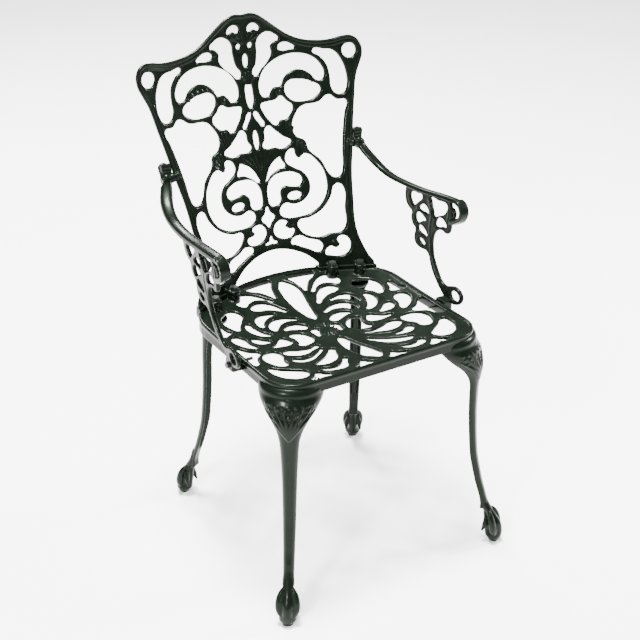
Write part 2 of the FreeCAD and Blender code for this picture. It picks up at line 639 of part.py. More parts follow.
# Arm castings: openwork in an upright plane, a strap rail that climbs to the back, a foot on the seat's rim
ARM_DRAWN_RAIL = 618.5
ARM_DRAWN_FOOT = 421
ARM_OUTER = [(118, 617), (121, 605), (121, 594), (117, 580), (107, 571), (100, 567), (101, 556), (96, 542),
             (87, 534), (89, 522), (88, 509), (80, 500.5), (66, 498), (52, 498), (44, 492), (40, 481), (32, 464),
             (20, 448), (8, 435), (-3, 425), (-14, 417.5), (-28, 415), (-43, 417.5), (-54, 425), (-58, 436),
             (-54, 446), (-45, 452), (-34, 453.5), (-22, 450), (-11, 446.5), (0, 449), (10, 458), (20, 472),
             (29, 488), (33, 505), (34, 527), (29, 543), (20, 552), (8, 556), (-3, 553), (-11, 556), (-15, 565),
             (-16, 580), (-18, 600), (-15, 613), (-10, 626)]
ARM_TOP = [(-10, 626), (30, 623), (70, 620), (118, 617)]
ARM_OPENINGS = {
    "rail_bean": [(70, 608), (85, 609), (99, 608), (106, 600), (102, 587), (95, 581), (90, 584), (82, 592),
                  (73, 600)],
    "upper_eye": [(50, 577), (51, 585), (58, 591), (66, 592), (74, 587), (79, 580), (70, 577), (60, 577)],
    "crescent": [(57, 561), (64, 567), (72, 571), (80, 571), (87, 565), (88, 557), (84, 549), (77, 550), (68, 556)],
    "lower_eye": [(51, 529), (54, 537), (62, 543), (70, 546), (77, 543), (79, 536), (72, 531), (62, 529)],
    "lower_slit": [(56, 512), (62, 517), (70, 519), (75, 516), (70, 510), (63, 507)],
    "front_loop": [(-3, 611), (-2, 600), (8, 588), (21, 582), (33, 577), (38, 590), (47, 610), (22, 613)],
    "front_ring": [(-3, 567), (2, 576), (12, 580), (21, 577), (27, 569), (28, 560), (22, 559), (10, 563)],
    "foot_ring": ellipse((-37, 434.5), 12, 10),
}
RAIL_LINE = [(-40, 626.5), (-28, 628), (-10, 627), (20, 624.5), (60, 620.5), (100, 618.6), (130, 618.6),
             (159, 620.4), (182.5, 625.5), (202, 633.7), (217.8, 644.4), (230.5, 656.4), (241, 668.7),
             (251, 683), (260, 700)]
RAIL_OUT = [0.3, 0.5, 0.3, -1, -4.2, -6.5, -8.7, -11.6, -14.3, -17.9, -22.8, -29.5, -35, -38.5, -36]
RAIL_WIDTH = [0.9, 0.95, 1, 1, 1, 1, 1, 1.02, 1.05, 1.1, 1.15, 1.1, 1, 1, 1]
VOLUTE_LINE = [(-31, 627.5), (-41, 625), (-47.5, 617), (-48.5, 607), (-44, 597), (-35, 590), (-25, 584.5),
               (-13, 579)]
VOLUTE_WIDTH = [0.9, 0.9, 0.85, 0.75, 0.65, 0.55, 0.45, 0.35]
STRAP_PROFILE = [(-0.5, -0.25), (-0.42, -0.5), (0.42, -0.5), (0.5, -0.25), (0.42, 0.28), (0.2, 0.5), (-0.2, 0.5),
                 (-0.42, 0.28)]
rim_middle_share = (size("arm_height") - rim_middle) / (ARM_DRAWN_RAIL - ARM_DRAWN_FOOT)


def arm_point(y, height, x=0):
    return Vector(x, y, size("arm_height") + (height - ARM_DRAWN_RAIL) * rim_middle_share)


def ruled_body(name, rings):
    """Casting ruled between rings of the same number of corners, each strip as flat triangles."""
    faces = [Part.Face(Part.makePolygon(ring + ring[:1])) for ring in (rings[0], rings[-1])]
    for low, high in zip(rings, rings[1:]):
        for k in range(len(low)):
            n = (k + 1) % len(low)
            for corners in ((low[k], low[n], high[n]), (low[k], high[n], high[k])):
                faces.append(Part.Face(Part.makePolygon(list(corners) + [corners[0]])))
    skin = Part.Compound(faces)
    skin.sewShape()
    return feature(name, Part.Solid(skin.Shells[0]))


def strap(name, line, widths):
    """Crowned strap along a line, its outer edge tilted down where it runs level."""
    rings = []
    for k, middle in enumerate(line):
        before = line[max(k - 1, 0)]
        after = line[min(k + 1, len(line) - 1)]
        along = (after - before).normalize()
        across = Vector(1, -along.x * along.y, 0).normalize()
        across = (across - along * (across * along)).normalize()
        upward = across.cross(along).normalize()
        level = math.radians(size("rail_tilt")) * max(0, upward.z) ** 2
        out = across * math.cos(level) - upward * math.sin(level)
        crown = across * math.sin(level) + upward * math.cos(level)
        rings.append([middle + out * (u * widths[k] * size("rail_width")) + crown * (v * size("rail_thickness"))
                      for u, v in STRAP_PROFILE])
    return ruled_body(name, rings)


corners = drawn_edge(ARM_OUTER, arm_point) + [arm_point(y, height) for y, height in ARM_TOP[1:]]
arm_wires = [Part.makePolygon(corners)] + [flats(points, arm_point) for points in ARM_OPENINGS.values()]
arm_face = Part.Face(arm_wires, "Part::FaceMakerBullseye")
arm_flat = feature("arm_flat", arm_face)
arm_openwork = extrusion("arm_openwork", arm_flat, (1, 0, 0), "Sizes.arm_plate / 2", "Sizes.arm_plate / 2")
bind(arm_openwork, "Placement.Base.x", "Sizes.arm_spacing / 2")
arm_openwork.Placement.Rotation = Rotation(Vector(0, 0, 1), size("arm_toe_in"))
arm_half = size("arm_spacing") / 2
rail_line = [arm_point(y, height, arm_half + out) for (y, height), out in zip(RAIL_LINE, RAIL_OUT)]
volute_line = [arm_point(y, height, arm_half + 0.5) for y, height in VOLUTE_LINE]
arm_foot = add("Part::Box", "arm_foot")
bind(arm_foot, "Length", "(Sizes.arm_spacing - Sizes.seat_width + Sizes.arm_plate) / 2 + 2")
bind(arm_foot, "Width", "Sizes.foot_lug_length")
bind(arm_foot, "Height", "Sizes.foot_lug_height")
arm_foot.Placement = Placement(Vector(size("seat_width") / 2,
                                      -size("foot_lug_ahead") - size("foot_lug_length") / 2,
                                      rim_middle - size("foot_lug_height") / 2), Rotation())
foot_outer = size("seat_width") / 2 + (size("arm_spacing") - size("seat_width") + size("arm_plate")) / 2 + 2
arm_body = fuse("arm_body", [arm_openwork, strap("arm_rail", rail_line, RAIL_WIDTH),
                             strap("arm_volute", volute_line, VOLUTE_WIDTH), arm_foot,
                             cylinder("arm_boss", "Sizes.arm_boss_radius", "Sizes.arm_boss_length", ear_place,
                                      ear_axis(1))])
arm_holes = [cylinder("arm_foot_hole", "Sizes.arm_bolt / 2 + Sizes.hole_clearance",
                      "(Sizes.arm_spacing - Sizes.seat_width + Sizes.arm_plate) / 2 + 4",
                      (size("seat_width") / 2 - 1, -size("foot_lug_ahead"), rim_middle), (1, 0, 0)),
             cylinder("arm_boss_hole", "Sizes.arm_bolt / 2 + Sizes.hole_clearance", "Sizes.arm_boss_length + 2",
                      ear_place - ear_axis(1), ear_axis(1)),
             cylinder("arm_boss_recess", "Sizes.head_recess_radius", "Sizes.head_recess + 10",
                      ear_place + ear_axis(1) * (size("arm_boss_length") - size("head_recess")), ear_axis(1))]
right_arm = keep(cut("right_arm", arm_body, arm_holes), "right_arm")
keep(mirror("left_arm", right_arm), "left_arm", settled=True)

# Leg castings: a crescent channel from the flared knee down to a solid scroll foot
LEG_SHAFT = [(84, 0.36, 10.3, 12), (133, 0.6, 11, 12.5), (189, 0.82, 12.2, 13)]
LEG_STATIONS = {
    "front": LEG_SHAFT + [(268, 0.94, 13.8, 13), (320, 0.96, 16, 13.5), (345, 0.95, 18.5, 14),
                          (362, 0.94, 23.5, 18), (379, 0.93, 33, 27), (396, 0.97, 46, 41), (412, 1.04, 55, 51)],
    "rear": LEG_SHAFT + [(268, 0.94, 12.5, 13), (345, 0.98, 12.5, 14), (379, 1, 14, 18), (396, 1.02, 16, 23),
                         (412, 1.07, 20, 28)],
}
LEG_TOP = {"front": (1.17, 58, 54), "rear": (1.17, 24, 30)}
LEG_HOLLOW_FROM = 120
FOOT_STATIONS = [(84, -27, 8, 10.3), (68, -19, 10, 12), (56, -13, 14, 17), (42, -7, 18.5, 21.5),
                 (25, -4, 19.5, 20.5), (11, -3, 16, 17)]
FOOT_SOLE = (11, 11)


def leg_frame(end):
    turn = math.radians(size(end + "_splay"))
    if end == "front":
        foot = Vector(size("front_foot_half"), -size("front_foot_ahead"), 0)
        return foot, Vector(math.cos(turn), -math.sin(turn), 0)
    foot = Vector(size("rear_foot_half"), size("rear_foot_depth"), 0)
    return foot, Vector(math.cos(turn), math.sin(turn), 0)


def crescent(end, height, reach, half_width, depth, wall=0, open_back=0):
    """Rounded side outwards, straight side inwards, thinner all round by the wall."""
    foot, outward = leg_frame(end)
    across = outward.cross(Vector(0, 0, 1))
    corners = []
    for k in range(7):
        turn = math.radians(-90 + 30 * k)
        corners.append((reach + depth - (depth - wall) * math.cos(turn), (half_width - wall) * math.sin(turn)))
    if open_back:
        corners = [(reach + depth + open_back, wall - half_width)] + corners
        corners.append((reach + depth + open_back, half_width - wall))
    return [foot - outward * inward + across * aside + Vector(0, 0, height) for inward, aside in corners]


def oval(end, height, middle, half_length, half_width):
    foot, outward = leg_frame(end)
    across = outward.cross(Vector(0, 0, 1))
    places = []
    for k in range(12):
        turn = math.radians(30 * k)
        places.append(foot + outward * (middle + half_length * math.cos(turn))
                      + across * (half_width * math.sin(turn)) + Vector(0, 0, height))
    return places


def leg(end):
    knee = size(end + "_knee_reach")
    stations = [(height, share * knee, width, depth) for height, share, width, depth in LEG_STATIONS[end]]
    top_share, top_width, top_depth = LEG_TOP[end]
    stations.append((rim_bottom, top_share * knee, top_width, top_depth))
    outer = [crescent(end, *station) for station in stations]
    hollow = []
    first = stations[0]
    second = stations[1]
    share = (LEG_HOLLOW_FROM - first[0]) / (second[0] - first[0])
    start = [a + (b - a) * share for a, b in zip(first, second)]
    for station in [start] + stations[1:]:
        hollow.append(crescent(end, *station, wall=size("leg_wall"), open_back=4))
    feet = [oval(end, *station) for station in [(size("glide_height"), -size("foot_inset")) + FOOT_SOLE]
            + FOOT_STATIONS[::-1]]
    shell = cut(end + "_channel", ruled_body(end + "_outer", outer), [ruled_body(end + "_hollow", hollow)])
    place = from_foot(end, size(end + "_bolt_reach"))
    under = rim_bottom - size("flange_thickness")
    flange = cylinder(end + "_flange", "Sizes.%s_flange_radius" % end, "Sizes.flange_thickness",
                      (place.x, place.y, under))
    sole = from_foot(end, size("foot_inset"))
    holes = [cylinder(end + "_flange_hole", "Sizes.leg_bolt / 2 + Sizes.hole_clearance",
                      "Sizes.flange_thickness + 2", (place.x, place.y, under - 1)),
             prism(end + "_spigot_hole", 8, "Sizes.spigot_radius", "Sizes.spigot_height",
                   (sole.x, sole.y, size("glide_height")))]
    return cut(end + "_leg", fuse(end + "_leg_body", [shell, flange, ruled_body(end + "_foot", feet)]), holes)


for end in ("front", "rear"):
    right = keep(leg(end), end + "_right_leg")
    keep(mirror(end + "_left_leg", right), end + "_left_leg", settled=True)

# Rubber glides under the feet
for end in ("front", "rear"):
    sole = from_foot(end, size("foot_inset"))
    glide = fuse(end + "_glide", [
        prism(end + "_glide_disc", 24, "Sizes.glide_radius", "Sizes.glide_height", (sole.x, sole.y, 0)),
        prism(end + "_glide_spigot", 8, "Sizes.spigot_radius", "Sizes.glide_height + Sizes.spigot_height",
                    (sole.x, sole.y, 0))])
    right = keep(glide, end + "_right_glide")
    keep(mirror(end + "_left_glide", right), end + "_left_glide", settled=True)


# Bolts and washers
def hexagon(name, across_flats, height, base, direction):
    made = add("Part::Prism", name, Polygon=6)
    bind(made, "Circumradius", "%s / sqrt(3)" % across_flats)
    bind(made, "Height", height)
    made.Placement = Placement(Vector(*base), Rotation(Vector(0, 0, 1), Vector(*direction)))
    return made


def bolt(name, diameter, length, seat, axis):
    """Head and shank; the axis points from the head's seat along the shank."""
    shank = cylinder(name + "_shank", "Sizes.%s / 2" % diameter, length, seat, axis)
    head = hexagon(name + "_head", "Sizes.%s * 1.7" % diameter, "Sizes.%s * 0.65" % diameter, seat, axis * -1)
    return fuse(name, [shank, head])


def ring(name, diameter, outer, height, base, axis):
    disc = cylinder(name + "_disc", outer, height, base, axis)
    bore = cylinder(name + "_bore", "Sizes.%s / 2 + Sizes.hole_clearance" % diameter, height + " + 2",
                    base - axis, axis)
    return add("Part::Cut", name, Base=disc, Tool=bore)


def group(label, members):
    keep(add("Part::Compound", label, Links=members), label)


up = Vector(0, 0, 1)
bolts = []
washers = []
for end in ("front", "rear"):
    place = from_foot(end, size(end + "_bolt_reach"))
    for side, word in ((1, "right"), (-1, "left")):
        name = "leg_bolt_%s_%s" % (end, word)
        under = Vector(side * place.x, place.y, rim_bottom - size("flange_thickness"))
        bolts.append(bolt(name, "leg_bolt", "Sizes.leg_bolt_depth + Sizes.flange_thickness + Sizes.washer",
                          under - up * size("washer"), up))
        washers.append(ring(name + "_washer", "leg_bolt", "Sizes.leg_bolt", "Sizes.washer", under, up * -1))
group("leg_bolts", bolts)
group("leg_washers", washers)

bolts = []
washers = []
for pair in ("inner", "outer"):
    place, turn = lug_place(pair + "_lugs")
    for side, word in ((1, "right"), (-1, "left")):
        name = "back_bolt_%s_%s" % (pair, word)
        top = Vector(side * place.x, place.y, pad_top + size("lug_thickness"))
        bolts.append(bolt(name, "lug_bolt", "Sizes.lug_bolt_bite + Sizes.lug_thickness + Sizes.washer",
                          top + up * size("washer"), up * -1))
        washers.append(ring(name + "_washer", "lug_bolt", "Sizes.lug_bolt", "Sizes.washer", top, up))
group("back_foot_bolts", bolts)
group("back_foot_washers", washers)

bolts = []
washers = []
for side, word in ((1, "right"), (-1, "left")):
    axis = ear_axis(side)
    outer = sided(ear_place, side) + axis * (size("arm_boss_length") - size("head_recess"))
    name = "arm_back_bolt_" + word
    bolts.append(bolt(name, "arm_bolt", "Sizes.arm_boss_length - Sizes.head_recess + Sizes.arm_bolt_bite "
                      "+ Sizes.washer", outer + axis * size("washer"), axis * -1))
    washers.append(ring(name + "_washer", "arm_bolt", "Sizes.arm_bolt", "Sizes.washer", outer, axis))
group("arm_back_bolts", bolts)
group("arm_back_washers", washers)

bolts = []
washers = []
for side, word in ((1, "right"), (-1, "left")):
    axis = Vector(side, 0, 0)
    outer = Vector(side * foot_outer, -size("foot_lug_ahead"), rim_middle)
    name = "arm_seat_bolt_" + word
    bolts.append(bolt(name, "arm_bolt", "(Sizes.arm_spacing - Sizes.seat_width + Sizes.arm_plate) / 2 + 2 "
                      "+ Sizes.arm_bolt_bite + Sizes.washer", outer + axis * size("washer"), axis * -1))
    washers.append(ring(name + "_washer", "arm_bolt", "Sizes.arm_bolt", "Sizes.washer", outer, axis))
group("arm_seat_bolts", bolts)
group("arm_seat_washers", washers)

doc.recompute()
for made in doc.Objects:
    if "Invalid" in made.State or "Error" in made.State:
        raise RuntimeError("%s is %s" % (made.Name, made.State))
os.makedirs("parts", exist_ok=True)
for part in parts:
    if part.Shape.isNull() or not part.Shape.isValid():
        raise RuntimeError("%s has no sound shape" % part.Label)
    part.Shape.exportStep("parts/%s.step" % part.Label)
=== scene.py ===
import math

import bmesh
import bpy
from bpy.props import FloatProperty, FloatVectorProperty, PointerProperty
from mathutils import Matrix, Vector
from mathutils.kdtree import KDTree


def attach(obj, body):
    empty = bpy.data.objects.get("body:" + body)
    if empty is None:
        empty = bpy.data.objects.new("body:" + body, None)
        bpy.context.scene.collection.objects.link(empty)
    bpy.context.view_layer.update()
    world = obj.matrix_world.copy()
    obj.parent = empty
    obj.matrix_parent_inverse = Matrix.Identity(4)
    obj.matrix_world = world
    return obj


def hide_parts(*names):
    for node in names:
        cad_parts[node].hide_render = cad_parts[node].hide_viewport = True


bl_info = {
    "name": "Garden Armchair",
    "version": (1, 0, 0),
    "blender": (4, 5, 0),
    "location": "3D View > Sidebar > Armchair",
    "description": "Dresses the castings of a garden armchair",
    "category": "Object",
}

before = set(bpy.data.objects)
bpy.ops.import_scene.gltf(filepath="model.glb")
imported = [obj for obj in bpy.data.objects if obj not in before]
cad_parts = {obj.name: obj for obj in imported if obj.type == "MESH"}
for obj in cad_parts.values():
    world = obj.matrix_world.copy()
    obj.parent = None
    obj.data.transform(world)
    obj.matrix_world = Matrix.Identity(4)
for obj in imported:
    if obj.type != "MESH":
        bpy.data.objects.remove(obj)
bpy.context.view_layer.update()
MM = 0.001

# The chair's own sizes in millimetres; the drawings further down are made to them
DEPTH_CENTRE = 49.25

# Seat, with its rail and the pads under the back
SEAT_WIDTH = 436
SEAT_FRONT = 176
SEAT_REAR = 228
CORNER_RADIUS = 58
SIDE_KNOTS = (-40, 30)
SIDE_END = 100
REAR_SHOULDER = (203.5, 154)
REAR_CORNER = (165, 190)
OUTLINE_STEP = 12
PLATE_INSET = 4
BOWL_DEPTH = 28.5
BOWL_MARGIN = 4
REAR_RISE = 8
RIM_HEIGHT = 444
RIM_SKIRT = 19
RIM_PROUD = 5
RIM_WIDTH = 11
REAR_SKIRT = 6
REAR_SKIRT_HALF = 146
REAR_SKIRT_FROM = (190, 205)
REAR_SKIRT_EASE = 6
PAD_RISE = 13
PAD_WIDTH = 17
PAD_PAST_FOOT = (4, 2)
PAD_TOP = RIM_HEIGHT + PAD_RISE
RIM_BOTTOM = RIM_HEIGHT - RIM_SKIRT
REAR_BOTTOM = RIM_HEIGHT - REAR_SKIRT
RIM_MIDDLE = RIM_HEIGHT + (RIM_PROUD - RIM_SKIRT) / 2
LEG_BOSS_RADIUS = 15
LEG_BOSS_INTO_PLATE = 2.6
HUB_DEPTH = 24
HUB_VEINS = 14
VEIN_FROM = (7, 9)
VEIN_TO = (20, 27)
VEIN_SINK = 0.7

# Back, with the lugs at its foot
BACK_SCALE = 482 / 480
BACK_DRAWN_FOOT = 441
BACK_HEIGHT = 492.5
BACK_FOOT_DEPTH = 221
BACK_FOOT_HALVES = (96, 197.5)
BACK_SWEEP = (0, 24, 107.5, 115)
BOW_FOOT = 59
BOW_CREST = 23
BOW_RELIEF = 6
BOW_REACH = 200
LUG_RADIUS = 12
LUG_BORE_RADIUS = 4.3
LUG_THICKNESS = 8
LUG_CHAMFER = 1.5
LUG_REACH = 18
LUG_HALVES = (118, 172)
WEB_RISE = 4
WEB_START = 7
WEB_HALF_SPREAD = 6.5
WEB_RADIUS = 3.6
STILE_BOSS_RADIUS = 6.5
STILE_BOSS_LENGTH = 13
BALL_PROUD = 1.5
BALL_SQUASH = 0.85
RELIEF_SINK = 1

# Arms
ARM_HEIGHT = 634.5
ARM_HALF = 250
ARM_FOOT_HALF = 234
ARM_FOOT_DRAWN_AHEAD = 0.1
ARM_FOOT_DRAWN_UP = 0.0616
ARM_TOE_IN = math.radians(3.5)
RAIL_THICKNESS = 9
RAIL_SPAN = 20
RAIL_TILT = math.radians(16)
RAIL_BEAD = 0.9
CURL_THICKNESS = 10
CURL_BEAD = 0.6
CURL_OUT = 0.5
ARM_DRAWN_RAIL = 618.5
ARM_DRAWN_FOOT = 421
ARM_SCALE = (ARM_HEIGHT - RIM_MIDDLE) / (ARM_DRAWN_RAIL - ARM_DRAWN_FOOT)
FOOT_LUG = (26, 22)
FOOT_LUG_PAST = 6
FOOT_LUG_AHEAD = 34
FOOT_LUG_RAISE = 3
CAD_FOOT_AHEAD = 16
ARM_BOLT_HEIGHT = 690
ARM_BOSS_RADIUS = 9
ARM_BOSS_LENGTH = 25
ARM_BOSS_CHAMFER = (1, 1.5)
ARM_BOSS_SWELL = 11.2
HEAD_RECESS = 6
HEAD_RECESS_RADIUS = 7
BORE_LENGTH = 30
BOSS_PROUD = 1

# Legs
LEG_WALL = 5
LEG_LIP = LEG_WALL * 0.75
FLANGE_THICKNESS = 7
FLANGE_SINK = 0.4
GLIDE_HEIGHT = 3
FOOT_INSET = 2
LEG_ENDS = {
    "front": {"half": 237, "depth": -225.5, "splay": -55, "knee": 57, "bolt": 90, "flange": 25,
              "top": 17, "shoulder": 2},
    "rear": {"half": 211.5, "depth": 246.5, "splay": 58, "knee": 63, "bolt": 92, "flange": 24,
             "top": -0.4, "shoulder": -0.5},
}
SHOULDER_DRAW = {"inward": 16, "narrower": 0.3, "shallower": 14}

# How the ribs are rounded: share of the thickness left at an edge, and the run into the middle groove
EDGE_SHARE = 0.4
GROOVE_RUN = 2.5

# Steps between the knots of an edge that is measured from, and round a turned body
EDGE_STEPS = 24
ROUND_STEPS = 40

# Triangles left in each casting
TRIANGLES = {"back": 180000, "seat": 180000, "arm": 150000, "leg": 110000}

# The room in metres, and the camera's place and turn, solved from the photograph
FLOOR_REACH = 12
ROOM_LIGHT = 0.36
ROOM_SEEN = 0.95
LAMPS_AIM = (0, 0, 0.5)
LAMPS = {
    "top": {"place": (-0.4, 0.6, 8.0), "power": 3700, "size": 1.8},
    "key": {"place": (-2.6, -1.6, 2.2), "power": 190, "size": 0.45},
    "side": {"place": (2.8, -0.6, 2.0), "power": 150, "size": 0.45},
    "rear": {"place": (0.4, 3.0, 2.6), "power": 190, "size": 0.7},
}
CAMERA_PLACE = (-1.0725, -1.71145, 1.4507)
CAMERA_TURN = math.radians(-32.058)
CAMERA_TILT = math.radians(26.853)
CAMERA_ROLL = math.radians(0.349)
CAMERA_LENS = 67.14


def ellipse(centre, half_x, half_y):
    """Eight knots of an upright oval."""
    turns = [2 * math.pi * k / 8 for k in range(8)]
    return [(centre[0] + half_x * math.cos(a), centre[1] + half_y * math.sin(a)) for a in turns]


# The openings of the back's right half: distance from the middle and height
BACK_SIDE = [(197.5, 441), (190, 460), (182.5, 480), (176, 505), (174.5, 530), (178, 570), (184, 620),
             (192.5, 660), (202.5, 710), (213.5, 760), (223, 800), (232, 820), (240, 840), (238, 860),
             (225, 873.5), (205, 874.5), (180, 870), (150, 870), (120, 875.5), (95, 886), (70, 903),
             (50, 918), (30, 930.5), (15, 933.5), (0, 932)]
BACK_ARCH = [(96, 441), (95, 446), (86, 456), (71, 468), (50, 479), (30, 486), (0, 490)]
BACK_AXIS_OPENINGS = {
    "upper_slit": ellipse((0, 847), 6, 13),
    "oval": ellipse((0, 784.5), 8.5, 26.5),
    "lower_slit": ellipse((0, 700), 6, 18.5),
    "diamond": [(0, 574.5), (6, 563), (15, 552), (6.5, 542), (0, 534), (-6.5, 542), (-15, 552), (-6, 563)],
    "small_triangle": [(0, 517.5), (5, 508), (14, 503), (0, 501.5), (-14, 503), (-5, 508)],
}
BACK_SIDE_OPENINGS = {
    "ear": [(229, 848), (224, 858), (214, 860.5), (204, 856), (200.5, 847), (204, 838), (213, 832.5),
            (224, 836)],
    "window": [(9, 907), (14, 913), (22, 914.5), (30, 911), (35, 904), (33, 899), (27, 901), (21, 902.5),
               (15, 899), (10, 900)],
    "round": ellipse((12.5, 874.5), 5, 5),
    "leaf_gap": [(3, 751), (8, 752), (18, 738), (24, 725), (20, 722), (10, 733), (4, 742)],
    "crest_scroll": [(17, 815), (12, 824), (21, 839), (25, 858), (28, 882), (40, 893), (51, 895.5),
                     (63, 891), (74, 879), (64, 875), (56, 867), (57, 854), (49, 841), (34, 828)],
    "top_bean": [(70, 863), (74, 870), (86, 872.5), (98, 868), (106, 860), (94, 857), (78, 857)],
    "shoulder_loop": [(141, 852), (165, 852.5), (184, 848), (198, 830), (205, 805), (203, 780), (194, 767),
                      (181, 767), (171, 780), (171, 800), (167, 824), (155, 840)],
    "eye_scroll": [(22, 795), (25, 808), (36, 826), (58, 841), (84, 849), (110, 849.5), (138, 841),
                   (155, 825), (161, 805), (153, 794.5), (142, 797), (132, 809), (115, 818), (95, 817),
                   (78, 806), (68, 791), (55, 791), (47, 784), (40, 775), (27, 778)],
    "eye": [(75, 785), (84, 799), (105, 801), (132, 794), (150, 779), (138, 765), (110, 758.5), (86, 765)],
    "neck": [(21, 763), (34, 766.5), (52, 768), (65, 774), (77, 763), (88, 752), (80, 736), (69, 729),
             (59, 729), (50, 720.5), (33, 734), (24, 749)],
    "side_upper": [(197, 754), (178, 757), (164, 767), (140, 755), (104, 750), (91, 738), (80, 714),
                   (86, 696), (102, 686), (106, 670), (128, 646), (140, 620), (150, 611.5), (162, 614),
                   (169.5, 630), (174, 660), (182.5, 700), (190.5, 730)],
    "waist": [(30, 722.5), (21, 716), (18, 698), (12, 687), (20, 680), (40, 680), (52, 676), (68, 682),
              (74, 687), (58, 699), (42, 713)],
    "great_scroll": [(56, 662), (64, 672), (76, 673), (78, 662), (82, 655.5), (97, 662), (120, 645),
                     (133, 612), (125, 575), (100, 552), (66, 544), (38, 547), (27, 558), (38, 574),
                     (62, 570), (88, 581), (98, 602), (90, 626), (70, 639), (56, 651)],
    "inner_scroll": [(6, 590), (9, 612), (22, 627), (45, 632.5), (70, 629), (84, 616), (77, 603), (62, 603),
                     (45, 606), (35, 597), (33, 579), (22, 572), (10, 575)],
    "scroll_eye": ellipse((63, 586), 15, 8),
    "heart": [(6, 622), (14, 645), (28, 658), (42, 664), (48, 654), (53, 642), (38, 639), (22, 631)],
    "low_curl": [(8, 527), (18, 542), (32, 543), (40, 537), (35, 530), (42, 525), (52, 523), (51, 513),
                 (38, 506), (22, 509), (11, 517)],
    "foot_bean": [(42, 497), (58, 508.5), (78, 500), (104, 489), (107, 478), (99, 470), (80, 478),
                  (56, 489)],
    "side_lower": [(62, 535), (65, 519), (82, 505), (103, 499.5), (122, 504), (148, 507.5), (157.5, 520),
                   (160, 550), (164.5, 588), (157, 599), (146, 598), (136, 578), (115, 554), (88, 541)],
    "foot_curl": [(110, 466), (122, 460.5), (138, 458.5), (154, 465), (161, 480), (157, 494), (146, 499.5),
                  (136, 494), (139, 482), (132, 476), (121, 480)],
}

# The openings of the seat's right half, seen from above: distance from the middle and distance back
SEAT_AXIS_OPENINGS = {
    "teardrop": [(0, 70), (7, 75), (11, 92), (18, 130), (23.5, 158), (23, 176), (15, 193), (0, 203)],
    "front_petal": [(0, -12), (7, -16), (10, -30), (13.5, -60), (17, -85), (18.5, -112), (16, -134),
                    (0, -146)],
}
SEAT_SIDE_OPENINGS = {
    "rear_gap": [(21, 216), (50, 213), (80, 207), (73, 195), (54, 183), (39, 164), (34.5, 158), (32, 168),
                 (27.5, 188)],
    "rear_petal_1": [(45, 150), (54, 164), (68, 178), (82, 187), (97, 189), (110, 181), (117, 168),
                     (111, 154), (104, 152), (94, 160), (78, 165.5), (60, 161)],
    "rear_petal_2": [(36, 113), (42, 128), (55, 146), (74, 155), (91, 151), (98, 140), (90, 133), (68, 130),
                     (48, 120)],
    "rear_petal_3": [(62, 111), (78, 118), (93, 118), (106, 111), (113, 93), (110, 79), (105, 78),
                     (100, 91), (84, 105), (72, 110)],
    "rear_petal_4": [(30, 83), (40, 91), (60, 97.5), (78, 95), (92, 83), (97, 67), (91, 59.5), (83, 66),
                     (70, 78), (50, 84)],
    "rear_petal_5": [(74, 56), (64, 67), (48, 70.5), (34, 65), (26, 54), (33, 46), (50, 50), (62, 54)],
    "corner_bean": [(144, 147), (158, 139), (170, 127), (175, 111), (170, 88), (160, 77), (150, 92),
                    (137, 110), (127, 128), (133, 143)],
    "edge_triangle": [(192, 101), (184, 82), (178, 73), (189, 63), (202, 57), (199, 78)],
    "crescent": [(131, 97), (139, 91), (142, 76), (136, 58), (120, 45.5), (107, 48), (117, 61), (126, 82)],
    "side_bean": [(179, 55), (190, 49), (194, 36), (188, 18), (175, 6), (160, 3), (160, 13), (166, 27),
                  (168, 45)],
    "half_moon": [(151, 43), (156, 32), (149, 20), (134, 18.5), (121, 26), (130, 33)],
    "long_triangle": [(97, 31), (88, 22), (85, 9), (98, 0), (118, -2), (132, 0), (118, 11), (107, 23)],
    "hook": [(73, 38.5), (56, 38), (43, 24), (42, 4), (58, -10), (80, -10), (74, 3), (74, 20), (78, 32)],
    "spike": [(29, 36), (14.5, 39), (19, 22), (25, 9.5), (29, 22)],
    "long_bean": [(150, -18), (139, -19), (134, -36), (144, -60), (147, -81), (160, -85), (174, -66),
                  (176, -44), (165, -25)],
    "front_petal_1": [(50, -22), (68, -27), (92, -25), (115, -20), (128, -33), (118, -46), (96, -51),
                      (74, -41)],
    "front_petal_2": [(50, -41), (66, -51), (88, -65), (108, -68), (125, -60), (131, -68), (120, -82),
                      (100, -82), (76, -66), (60, -52)],
    "front_petal_3": [(38, -50), (52, -62), (72, -81), (94, -96), (106, -104), (94, -113.5), (72, -110),
                      (54, -95), (43, -73)],
    "front_petal_4": [(45, -105), (58, -119), (76, -133), (92, -133), (108, -126), (108, -139), (90, -149),
                      (68, -148), (54, -127)],
    "corner_hole": [(189, -83), (170, -95), (150, -108), (136, -121), (139, -138), (154, -146), (173, -140),
                    (188, -121), (193, -99)],
    "edge_gap": [(124, -138), (134, -149), (147, -161), (125, -163), (104, -161), (114, -149)],
    "middle_gap": [(31, -138), (41, -149), (57, -161), (35, -163), (15, -160), (24, -149)],
    "side_gap": [(205, 8), (209, -28), (206, -66), (197, -64), (187, -40), (169, -14), (186, -5)],
}

